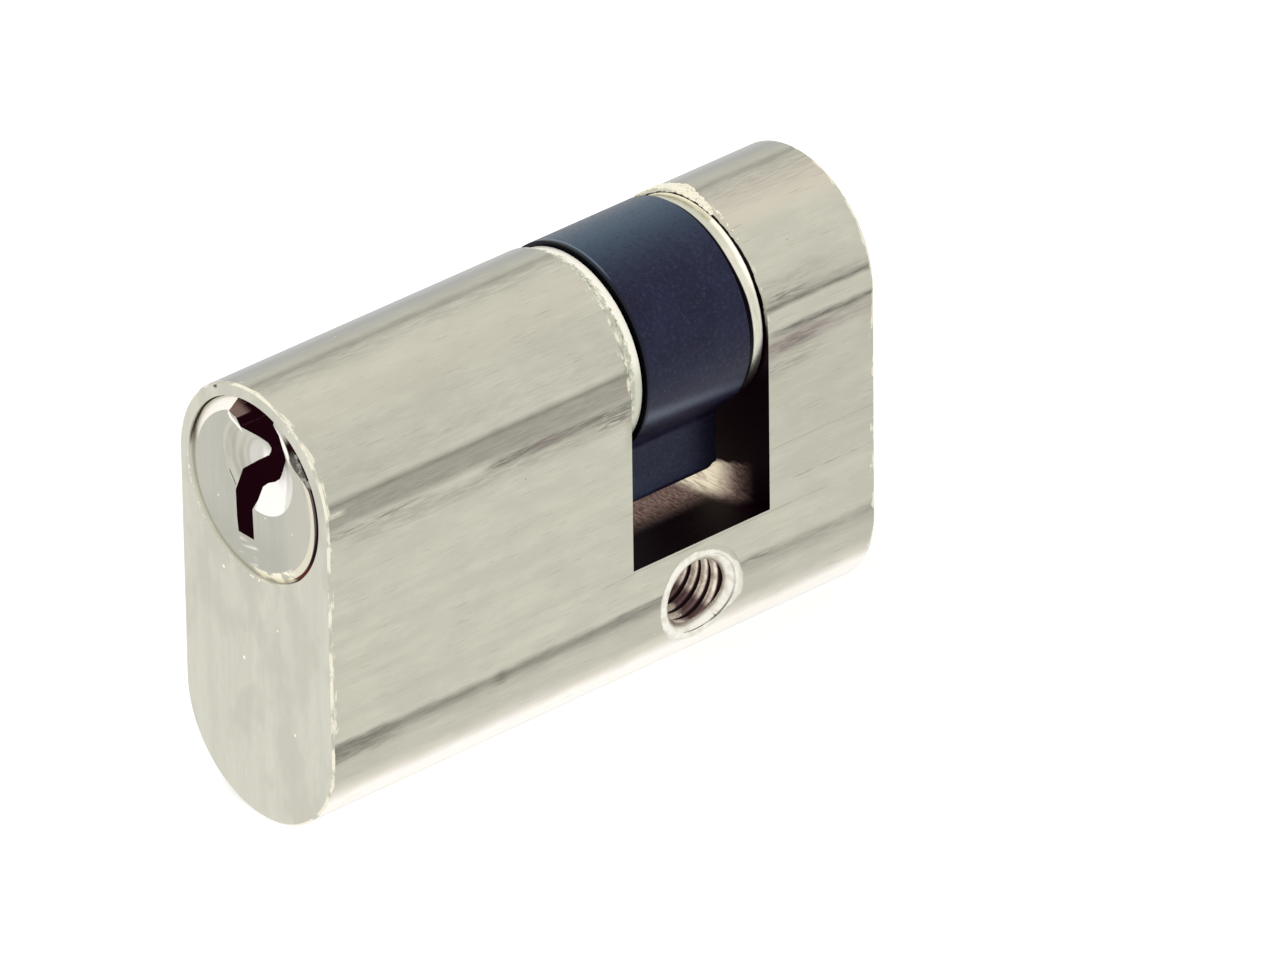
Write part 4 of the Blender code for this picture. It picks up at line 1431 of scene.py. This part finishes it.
@dataclass
class RimBurr:
    """Ragged chips that a cutter left along a rim round the plug's axis."""

    name: str
    start_degrees: float
    end_degrees: float
    near_y: float
    far_y: float
    count: int
    chip: float
    radius: float = BODY_RADIUS - 0.02
    rise: float = 0.05
    seed: int = 1

    def tree(self) -> GeometryTree:
        """Lay out flat chips that are strewn over a strip of the rim, closer together near its inner line.

        Returns:
            The finished tree.
        """
        t = GeometryTree("rim_burr")
        count = t.size("Count", 100, WHOLE)
        start, end = t.size("Start", 0.5), t.size("End", 2.0)
        near, far = t.size("Near", 0.0), t.size("Far", 0.001)
        radius, rise = t.size("Radius", 0.0076), t.size("Rise", 0.0001)
        chip = t.size("Chip", 0.0002)
        seed = t.size("Seed", 1, WHOLE)
        material = t.size("Material", kind=MATERIAL)
        turn, share = self._chance(t, start, end, seed, 0), self._chance(t, 0.0, 1.0, seed, 1)
        reach = radius + self._chance(t, 0.0, 1.0, seed, 2) * rise
        taper = t.math("MINIMUM", (turn - start) * 1.8 + 0.2, 1.0)
        across = near + share * share * ((far - near) * taper)
        high = reach * t.math("SINE", turn) + AXIS_Z * MM
        at = t.join(reach * t.math("COSINE", turn), across, high)
        points = t.take("GeometryNodePoints", 0, {"Count": count, "Position": at})
        lump = t.take("GeometryNodeMeshIcoSphere", 0, {"Radius": 1.0, "Subdivisions": 2})
        lie = t.join(0.0, math.pi / 2 - turn, self._chance(t, -0.5, 0.5, seed, 3))
        sizes = ((0.5, 1.6, 4), (0.25, 0.8, 5), (0.12, 0.26, 6))
        size = t.join(*(chip * self._chance(t, low, high, seed, step) for low, high, step in sizes))
        given = {"Points": points, "Instance": lump, "Rotation": lie, "Scale": size}
        strewn = t.take("GeometryNodeInstanceOnPoints", 0, given)
        real = t.take("GeometryNodeRealizeInstances", 0, {0: strewn})
        rough = t.take("ShaderNodeTexNoise", "Color", {"Scale": 2.5 / MM})
        given = {0: rough, 1: (0.12 * MM,) * 3, 2: (-0.06 * MM,) * 3}
        centred = t.take("ShaderNodeVectorMath", 0, given, operation="MULTIPLY_ADD")
        moved = t.take("GeometryNodeSetPosition", 0, {"Geometry": real, "Offset": centred})
        return t.end(moved, material)

    @staticmethod
    def _chance(t: GeometryTree, low: Any, high: Any, seed: Value, step: int) -> Value:
        """Draw a random number for each chip.

        Args:
            t: the tree.
            low: the least.
            high: the most.
            seed: the tree's seed.
            step: which draw this is, so that each kind has its own numbers.

        Returns:
            The number between low and high.
        """
        given = {2: low, 3: high, "Seed": seed + float(step)}
        return t.take("FunctionNodeRandomValue", 1, given, data_type="FLOAT")

    def build(self, material: bpy.types.Material) -> bpy.types.Object:
        """Strew the chips.

        Args:
            material: what it is made of.

        Returns:
            The chips' object.
        """
        values = {
            "Count": self.count, "Seed": self.seed * 20, "Material": material,
            "Start": math.radians(self.start_degrees), "End": math.radians(self.end_degrees),
            "Near": self.near_y * MM, "Far": self.far_y * MM, "Radius": self.radius * MM,
            "Rise": self.rise * MM, "Chip": self.chip * MM,
        }
        return self.tree().mesh(self.name, values)


@dataclass
class PinSpring:
    """A pin's coil spring, wound where its solid stands."""

    number: int
    wire_radius: float = 0.16
    turns: float = 6.0
    travel: float = 3.0
    steps_per_turn: int = 24
    wire_sides: int = 8

    def tree(self) -> GeometryTree:
        """Lay out the sweep of a round wire along a helix.

        Returns:
            The finished tree.
        """
        t = GeometryTree("pin_spring")
        radius, rise, turns = t.size("Radius", 0.001), t.size("Rise", 0.005), t.size("Turns", 6.0)
        steps, sides = t.size("Steps", 24, WHOLE), t.size("Sides", 8, WHOLE)
        wire = t.size("Wire", 0.0002)
        material = t.size("Material", kind=MATERIAL)
        helix = t.helix(steps, turns, radius, rise)
        given = {"Resolution": sides, "Radius": wire}
        section = t.take("GeometryNodeCurvePrimitiveCircle", 0, given, mode="RADIUS")
        return t.end(t.sweep(helix, section), material)

    def build(self, material: bpy.types.Material) -> bpy.types.Object:
        """Wind the spring where its solid stands, and fix it to the housing.

        Args:
            material: what it is made of.

        Returns:
            The spring's object.
        """
        node = f"spring_{self.number}"
        low, high = box_mm(node)
        middle = (low + high) / 2
        length = high.z - low.z
        values = {
            "Radius": ((high.x - low.x) / 2 - self.wire_radius) * MM,
            "Rise": (length - 2 * self.wire_radius) * MM, "Wire": self.wire_radius * MM,
            "Turns": self.turns, "Steps": self.steps_per_turn, "Sides": self.wire_sides, "Material": material,
        }
        foot = Matrix.Translation(Vector((middle.x, middle.y, low.z + self.wire_radius)) * MM)
        spring = self.tree().mesh(f"wound_spring_{self.number}", values, foot)
        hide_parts(node)
        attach(spring, "housing")
        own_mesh(spring)
        LOG.info("added %s", spring.name)
        return spring


@dataclass
class HoleLip:
    """The mouth of the tapped hole on one side: a cone down to the thread's crests, and a burr round it.

    The burr's outer line is given all round, since the countersink was cut by hand and isn't round.
    """

    name: str
    side: int
    crest_radius: float = 2.52
    cone_depth: float = 0.62
    back: float = 0.14
    height: float = 0.05
    steps: int = 240
    waves: int = 14
    seed: int = 4
    burr_line: tuple[tuple[float, float], ...] = (
        (0, 3.72), (15, 3.56), (36, 3.3), (58, 3.24), (83, 3.38), (104, 3.58), (121, 3.76), (150, 3.62),
        (180, 3.6), (205, 3.6), (231, 3.42), (252, 3.4), (268, 3.7), (279, 3.85), (292, 3.2), (304, 3.06),
        (317, 3.2), (329, 3.6), (340, 3.9), (360, 3.72),
    )

    def _burr_reach(self, degrees: float) -> float:
        """Look up how far the burr reaches in a direction.

        Args:
            degrees: the direction, from the rear towards the top.

        Returns:
            Its outer radius.
        """
        for (start, first), (end, second) in zip(self.burr_line, self.burr_line[1:]):
            if degrees <= end:
                share = (degrees - start) / (end - start)
                return first + (second - first) * share * share * (3 - 2 * share)
        return self.burr_line[-1][1]

    @staticmethod
    def _skin(height: float) -> float:
        """Return how far from the middle the oval's skin is at a height."""
        return BODY_RADIUS if height >= 0 else math.sqrt(BODY_RADIUS ** 2 - height ** 2)

    def _section(self, turn: float, ragged: float) -> list[tuple[float, float, float]]:
        """Return the mouth's closed section in one direction.

        Args:
            turn: the direction, in radians.
            ragged: how far the burr's line strays there.

        Returns:
            Each point's radius, its distance from the middle plane, and 1 where cream or 0 where plated.
        """
        rise = math.sin(turn)
        line = self._burr_reach(math.degrees(turn) % 360) + ragged
        outer = max(line, COUNTERSINK_RADIUS) + 0.06
        mouth = SCREW_HOLE_RADIUS + 0.06
        foot = self._skin(SCREW_HOLE_RADIUS * rise) - self.cone_depth
        crest = self.crest_radius - 0.2 * max(rise, 0.0)
        return [
            (outer, self._skin(outer * rise) - 0.05, 0.0),
            (outer - 0.02, self._skin(outer * rise) + 0.008, 0.0),
            (line + 0.03, self._skin(line * rise) + 0.012, 0.0),
            (line - 0.03, self._skin(line * rise) + self.height, 1.0),
            (mouth, self._skin(mouth * rise) + 0.6 * self.height, 1.0),
            (crest + 0.26, foot + 0.28, 1.0),
            (crest, foot, 1.0),
            (crest + 0.05, foot - self.back, 1.0),
            (SCREW_HOLE_RADIUS + 0.06, foot - self.back, 1.0),
        ]

    def build(self, material: bpy.types.Material) -> bpy.types.Object:
        """Make the mouth as one closed ring, with where it is cream as an attribute.

        Args:
            material: what it is made of.

        Returns:
            The ring's object.
        """
        chance = random.Random(self.seed)
        waves = [
            (chance.uniform(0.003, 0.012), chance.randint(3, 61), chance.uniform(0, 6.28))
            for _ in range(self.waves)
        ]
        points, cream, faces = [], [], []
        for step in range(self.steps):
            turn = 2 * math.pi * step / self.steps
            ragged = sum(size * math.sin(count * turn + shift) for size, count, shift in waves)
            for radius, out, tone in self._section(turn, ragged):
                at = (self.side * out, radius * math.cos(turn), radius * math.sin(turn))
                points.append([value * MM for value in at])
                cream.append(tone)
        corners = len(points) // self.steps
        for step in range(self.steps):
            here, after = step * corners, (step + 1) % self.steps * corners
            for corner in range(corners):
                other = (corner + 1) % corners
                faces.append((here + corner, here + other, after + other, after + corner))
        mesh = bpy.data.meshes.new(self.name)
        mesh.from_pydata(points, [], faces)
        mesh.attributes.new("cream", "FLOAT", "POINT").data.foreach_set("value", cream)
        bm = bmesh.new()
        bm.from_mesh(mesh)
        bmesh.ops.recalc_face_normals(bm, faces=bm.faces)
        for face in bm.faces:
            face.smooth = True
        bm.to_mesh(mesh)
        bm.free()
        mesh.materials.append(material)
        return into_scene(self.name, mesh)


@dataclass(frozen=True)
class Smoothing:
    """Joins a solid's loose triangles and shades its rounds smooth, without moving a point."""

    sharp_degrees: float = 24.0

    def start(self, name: str) -> tuple[GeometryTree, Value]:
        """Start a tree that shades smooth; more steps can be put behind it.

        Args:
            name: the tree's name.

        Returns:
            The tree and the smooth geometry in it.
        """
        t = GeometryTree(name, on_solid=True)
        given = {"Geometry": t.given.outputs["Solid"], "Distance": 1e-7}
        merged = t.take("GeometryNodeMergeByDistance", 0, given)
        angle = t.take("GeometryNodeInputMeshEdgeAngle", "Unsigned Angle")
        given = {0: angle, 1: math.radians(self.sharp_degrees)}
        sharp = t.take("FunctionNodeCompare", 0, given, operation="GREATER_THAN")
        given = {"Mesh": merged, "Remove Custom": True, "Edge Sharpness": sharp}
        return t, t.take("GeometryNodeSetMeshNormal", 0, given, mode="SHARPNESS")


def weigh_normals(obj: bpy.types.Object) -> None:
    """Keep the flats flat where they run into rounds, by weighing each normal with its faces' areas.

    Args:
        obj: the solid's object.
    """
    weighted = obj.modifiers.new("weigh_normals", "WEIGHTED_NORMAL")
    weighted.mode = "FACE_AREA"
    weighted.keep_sharp = True


def edge_widths(name: str, edge: float, nose: float) -> bpy.types.NodeTree:
    """Return a tree that says how wide each sharp edge is broken, as a share of the widest.

    Args:
        name: the tree's name.
        edge: how wide most edges are broken, in millimetres.
        nose: how wide the low edges across the ends of the cam's lobe are broken, in millimetres.

    Returns:
        The tree, which writes the shares for a bevel modifier.
    """
    t = GeometryTree(name, on_solid=True)
    angle = t.take("GeometryNodeInputMeshEdgeAngle", "Unsigned Angle")
    _, y, z = t.split(t.node("GeometryNodeInputPosition").outputs[0])
    low = z < (CAM_LOW.z + 0.3) * MM
    outer = abs(y - (CAM_LOW.y + CAM_HIGH.y) / 2 * MM)
    at_nose = low * (outer > (CAM_HIGH.y - CAM_LOW.y) / 2 * MM - 0.1 * MM)
    share = t.math("MAXIMUM", at_nose, edge / nose)
    given = {
        "Geometry": t.given.outputs["Solid"], "Name": "bevel_weight_edge",
        "Value": share * (angle > math.radians(SHARP_EDGE)),
    }
    kept = t.take("GeometryNodeStoreNamedAttribute", 0, given, data_type="FLOAT", domain="EDGE")
    t.feed(t.out.inputs[0], kept)
    return t.tree


def dress(node: str, material: bpy.types.Material, edge: float = 0.0, nose: float = 0.0) -> None:
    """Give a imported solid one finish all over, smooth its round faces and break its sharp edges.

    Args:
        node: the solid's name.
        material: its finish.
        edge: how wide its sharp edges are broken, in millimetres; none where it is 0.
        nose: how wide the low edges of the cam's lobe are broken; as the others where it is 0.
    """
    obj = frame["nodes"][node]
    obj.data.materials.clear()
    obj.data.materials.append(material)
    found = bpy.data.node_groups.get("smooth_rounds")
    if not found:
        t, smooth = Smoothing().start("smooth_rounds")
        t.feed(t.out.inputs[0], smooth)
        found = t.tree
    obj.modifiers.new("smooth_rounds", "NODES").node_group = found
    if edge:
        flats = obj.modifiers.new("join_flats", "DECIMATE")
        flats.decimate_type = "DISSOLVE"
        flats.angle_limit = math.radians(1)
        if nose:
            obj.modifiers.new("edge_widths", "NODES").node_group = edge_widths(f"{node}_edges", edge, nose)
        broken = obj.modifiers.new("break_edges", "BEVEL")
        broken.width = max(edge, nose) * MM
        broken.segments = 4 if nose else 3
        broken.limit_method = "WEIGHT" if nose else "ANGLE"
        broken.angle_limit = math.radians(SHARP_EDGE)
    weigh_normals(obj)
    LOG.info("dressed %s in %s", node, material.name)


class BodyDress(Grained):
    """Gives the body's one solid a finish for each kind of surface on it."""

    def build(self) -> None:
        """Build the finishes and the tree that deals them out."""
        obj = frame["nodes"]["body"]
        slot = SlotFinish().build()
        skin = SkinFinish(self.effects).build()
        face = EndFaceFinish(self.effects).build()
        edge = BrightEdgeFinish("worn_edge", 0.46, 0.58, srgb(198, 196, 181), 0.5).build()
        collar = CollarFinish().build()
        bore = BoreFinish(self.effects).build()
        sink = BrightEdgeFinish("bright_countersink", 0.56, 0.66, srgb(205, 198, 178)).build()
        brass = Finish("screw_hole_brass", Tone.BARE_BRASS_DARK.value, 1.0, 0.4)
        hole = PlainMetalFinish(self.effects, brass, srgb(128, 98, 90), (3, 1, 1)).build()
        obj.data.materials.clear()
        t, geometry = Smoothing().start("body_finishes")
        r = FaceRegions(t)
        deal = (
            (slot, True), (bore, r.bore()), (collar, r.collar()), (hole, r.screw_hole()),
            (sink, r.countersink()), (skin, r.skin()), (edge, r.end_edge()), (face, r.end_face()),
        )
        for material, where in deal:
            obj.data.materials.append(material)
            given = {"Geometry": geometry, "Selection": where, "Material": material}
            geometry = t.take("GeometryNodeSetMaterial", 0, given)
        t.feed(t.out.inputs[0], geometry)
        obj.modifiers.new("body_finishes", "NODES").node_group = t.tree
        weigh_normals(obj)
        LOG.info("dressed body in %d finishes", len(deal))


class FaceRegions:
    """Selections of the body's faces by where their middles lie, in millimetres."""

    def __init__(self, t: GeometryTree) -> None:
        """Lay out the coordinates that the selections share.

        Args:
            t: the tree that they are laid out in.
        """
        self.t = t
        given = {0: t.node("GeometryNodeInputPosition").outputs[0], "Scale": 1 / MM}
        self.x, self.y, self.z = t.split(t.take("ShaderNodeVectorMath", 0, given, operation="SCALE"))
        flat = t.math("MINIMUM", t.math("MAXIMUM", self.z, 0.0), AXIS_Z)
        self.depth = BODY_RADIUS - self._reach(self.x, self.z - flat)
        self.from_axis = self._reach(self.x, self.z - AXIS_Z)
        self.from_screw = self._reach(self.y, self.z)
        self.to_end = t.math("MINIMUM", self.y - FRONT_Y, REAR_Y - self.y)

    def _reach(self, first: Any, second: Any) -> Any:
        """Return the length of a two-part step."""
        squares = first * first + second * second
        return self.t.math("POWER", squares, 0.5)

    def _between(self, value: Any, low: float, high: float) -> Any:
        """Return 1 where value lies between low and high."""
        above = value > low
        return above * (value < high)

    def skin(self) -> Any:
        """Select the oval's long side."""
        return self.depth < 0.03

    def end_edge(self) -> Any:
        """Select the broken edges of both ends."""
        near_end = self._between(self.to_end, 0.01, 0.14)
        return near_end * self._between(self.depth, 0.03, 0.14)

    def end_face(self) -> Any:
        """Select both end faces."""
        return self.to_end < 0.01

    def collar(self) -> Any:
        """Select the bright collar that the cam turns against."""
        low = self._between(self.y, SLOT_FRONT_Y - 0.02, SLOT_FRONT_Y + COLLAR_LENGTH + 0.02)
        return low * self._between(self.from_axis, PLUG_RADIUS + 0.2, COLLAR_RADIUS + 0.02)

    def bore(self) -> Any:
        """Select the wall of the plug's bore."""
        before = self.y < SLOT_FRONT_Y + COLLAR_LENGTH
        return before * self._between(self.from_axis, BORE_RADIUS - 0.05, BORE_RADIUS + 0.02)

    def screw_hole(self) -> Any:
        """Select the cross hole's wall."""
        return self.from_screw < COUNTERSINK_RADIUS + 0.05

    def countersink(self) -> Any:
        """Select the cross hole's two countersinks.

        Returns:
            1 on them, 0 elsewhere.
        """
        across = abs(self.x)
        outer = across > BODY_RADIUS - COUNTERSINK_DEPTH + 0.02
        return outer * self.screw_hole()


@dataclass
class Studio:
    """Camera, lamps, floor and the white world round the object."""

    camera_place: Sequence[float] = (0.71969584, -0.61394475, 0.57204065)
    camera_turn: Sequence[float] = (59.0841143, 0.6409122, 49.0922032)
    lens: float = 459.9265
    sensor: float = 36.0
    floor_side: float = 3.0

    def build(self) -> None:
        """Make the studio."""
        self._camera()
        self._world()
        self._floor()
        self._lamp("key_lamp", (0.25, -0.45, 0.75), 0.55, 1.6)
        self._lamp("top_lamp", (-0.35, 0.35, 0.8), 0.6, 1.2)
        bpy.context.scene.view_settings.view_transform = "Standard"

    def _camera(self) -> None:
        """Make the camera at the photograph's place."""
        data = bpy.data.cameras.new("camera")
        data.lens = self.lens
        data.sensor_width = self.sensor
        data.clip_start = 0.01
        data.clip_end = 20.0
        camera = into_scene("camera", data)
        camera.location = self.camera_place
        camera.rotation_euler = Euler([math.radians(angle) for angle in self.camera_turn], "XYZ")
        bpy.context.scene.camera = camera

    def _lamp(self, name: str, place: Sequence[float], side: float, power: float) -> None:
        """Add a large soft lamp that points at the object.

        Args:
            name: the lamp's name.
            place: where it hangs, in metres.
            side: how wide it is, in metres.
            power: its power, in watts.
        """
        data = bpy.data.lights.new(name, "AREA")
        data.shape = "DISK"
        data.size = side
        data.energy = power
        lamp = into_scene(name, data)
        lamp.location = place
        aim = Vector((0, -0.008, 0.009)) - Vector(place)
        lamp.rotation_euler = aim.to_track_quat("-Z", "Y").to_euler()
        lamp.visible_glossy = False

    def _world(self) -> None:
        """Light everything softly from all round, and show white to the camera and to gloss."""
        world = bpy.data.worlds.new("white_tent")
        bpy.context.scene.world = world
        world.use_nodes = True
        g = Graph(world.node_tree)
        tent = world.node_tree.nodes["Background"]
        tent.inputs["Color"].default_value = (1, 1, 1, 1)
        rays = g.node("ShaderNodeLightPath")
        seen = g.math("MAXIMUM", rays.outputs["Is Camera Ray"], rays.outputs["Is Transmission Ray"])
        soft = g.blend(rays.outputs["Is Glossy Ray"], 0.6, 1.06)
        g.feed(tent.inputs["Strength"], g.blend(seen, soft, 1.0))

    def _floor(self) -> None:
        """Lay a pale floor under the body's lowest line."""
        bm = bmesh.new()
        half = self.floor_side / 2
        level = (BODY_LOW.z - 0.02) * MM
        corners = ((-half, -half), (half, -half), (half, half), (-half, half))
        bm.faces.new([bm.verts.new((x, y, level)) for x, y in corners])
        mesh = bpy.data.meshes.new("floor")
        bm.to_mesh(mesh)
        bm.free()
        floor = into_scene("floor", mesh)
        mesh.materials.append(self._floor_material())

    @staticmethod
    def _floor_material() -> bpy.types.Material:
        """Make pale paper, which is white in gloss.

        Returns:
            The material, white to the camera but for the object's faint shadow.
        """
        material, g, shader = Finish("pale_floor", (0.88, 0.88, 0.88), 0.0, 0.9, 0.2).start()
        grain = g.noise(g.place(), 0.08, 3.0)
        g.feed(shader.inputs["Base Color"], g.mix(grain, (0.86, 0.86, 0.86), (0.9, 0.9, 0.9)))
        rays = g.node("ShaderNodeLightPath")
        shader.inputs["Emission Color"].default_value = (1, 1, 1, 1)
        g.feed(shader.inputs["Emission Strength"], g.math("MULTIPLY", rays.outputs["Is Camera Ray"], 0.42))
        white = g.node("ShaderNodeEmission")
        white.inputs["Strength"].default_value = 1.08
        both = g.node("ShaderNodeMixShader")
        g.feed(both.inputs[0], rays.outputs["Is Glossy Ray"])
        g.feed(both.inputs[1], shader.outputs[0])
        g.feed(both.inputs[2], white.outputs[0])
        g.feed(material.node_tree.nodes["Material Output"].inputs["Surface"], both.outputs[0])
        return material


@dataclass
class HalfCylinder:
    """The whole lock cylinder: which finish each solid gets, and the fine pieces on it."""

    effects: SharedEffects = field(default_factory=SharedEffects)

    def build(self) -> None:
        """Dress the solids and add the fine pieces."""
        BodyDress(self.effects).build()
        dress("plug", PlugFinish(self.effects).build())
        dress("cam", CamFinish(self.effects).build(), edge=0.16, nose=0.5)
        self._dress_small_pieces()
        self._add_thread()
        self._add_burrs()

    def _dress_small_pieces(self) -> None:
        """Dress the ring, pins, springs and chamber plugs."""
        dress("retaining_ring", RingFinish(self.effects).build(), edge=0.06)
        brass = Finish("turned_brass", srgb(196, 160, 104), 1.0, 0.34)
        brass_material = PlainMetalFinish(self.effects, brass, srgb(214, 182, 124), (0.5, 0.5, 3)).build()
        bronze = Finish("spring_bronze", srgb(168, 122, 84), 1.0, 0.36)
        bronze_material = PlainMetalFinish(self.effects, bronze, srgb(196, 150, 104), (1, 1, 1)).build()
        for node in sorted(frame["nodes"]):
            if node.startswith(("key_pin", "driver_pin", "chamber_plug")):
                dress(node, brass_material)
            elif node.startswith("spring"):
                PinSpring(int(node[-1])).build(bronze_material)

    def _add_thread(self) -> None:
        """Add the tapped hole's turns."""
        thread = TappedHole().build(ThreadFinish().build())
        self._mount(thread)

    def _add_burrs(self) -> None:
        """Add what the cutters left on the slot's rims and round the cross hole."""
        bright = BrightEdgeFinish("bright_burr", 0.52, 0.66, srgb(214, 206, 182)).build()
        burrs = (
            RimBurr("rear_rim_burr", 74, 150, 5.98, 6.95, 440, 0.27, BODY_RADIUS - 0.06, rise=0.07, seed=3),
            RimBurr("rear_rim_chips", 52, 80, 6.24, 6.5, 14, 0.12, seed=5),
        )
        for burr in burrs:
            self._mount(burr.build(bright))
        lip = HoleLipFinish().build()
        for name, side in (("hole_lip_right", 1), ("hole_lip_left", -1)):
            self._mount(HoleLip(name, side).build(lip))

    @staticmethod
    def _mount(piece: bpy.types.Object) -> None:
        """Fix a fine piece to the housing.

        Args:
            piece: the piece's object.
        """
        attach(piece, "housing")
        LOG.info("added %s", piece.name)


def main() -> None:
    """Build the studio and the cylinder."""
    logging.basicConfig(level=logging.INFO, format="%(message)s")
    Studio().build()
    HalfCylinder().build()


if __name__ == "__main__":
    main()
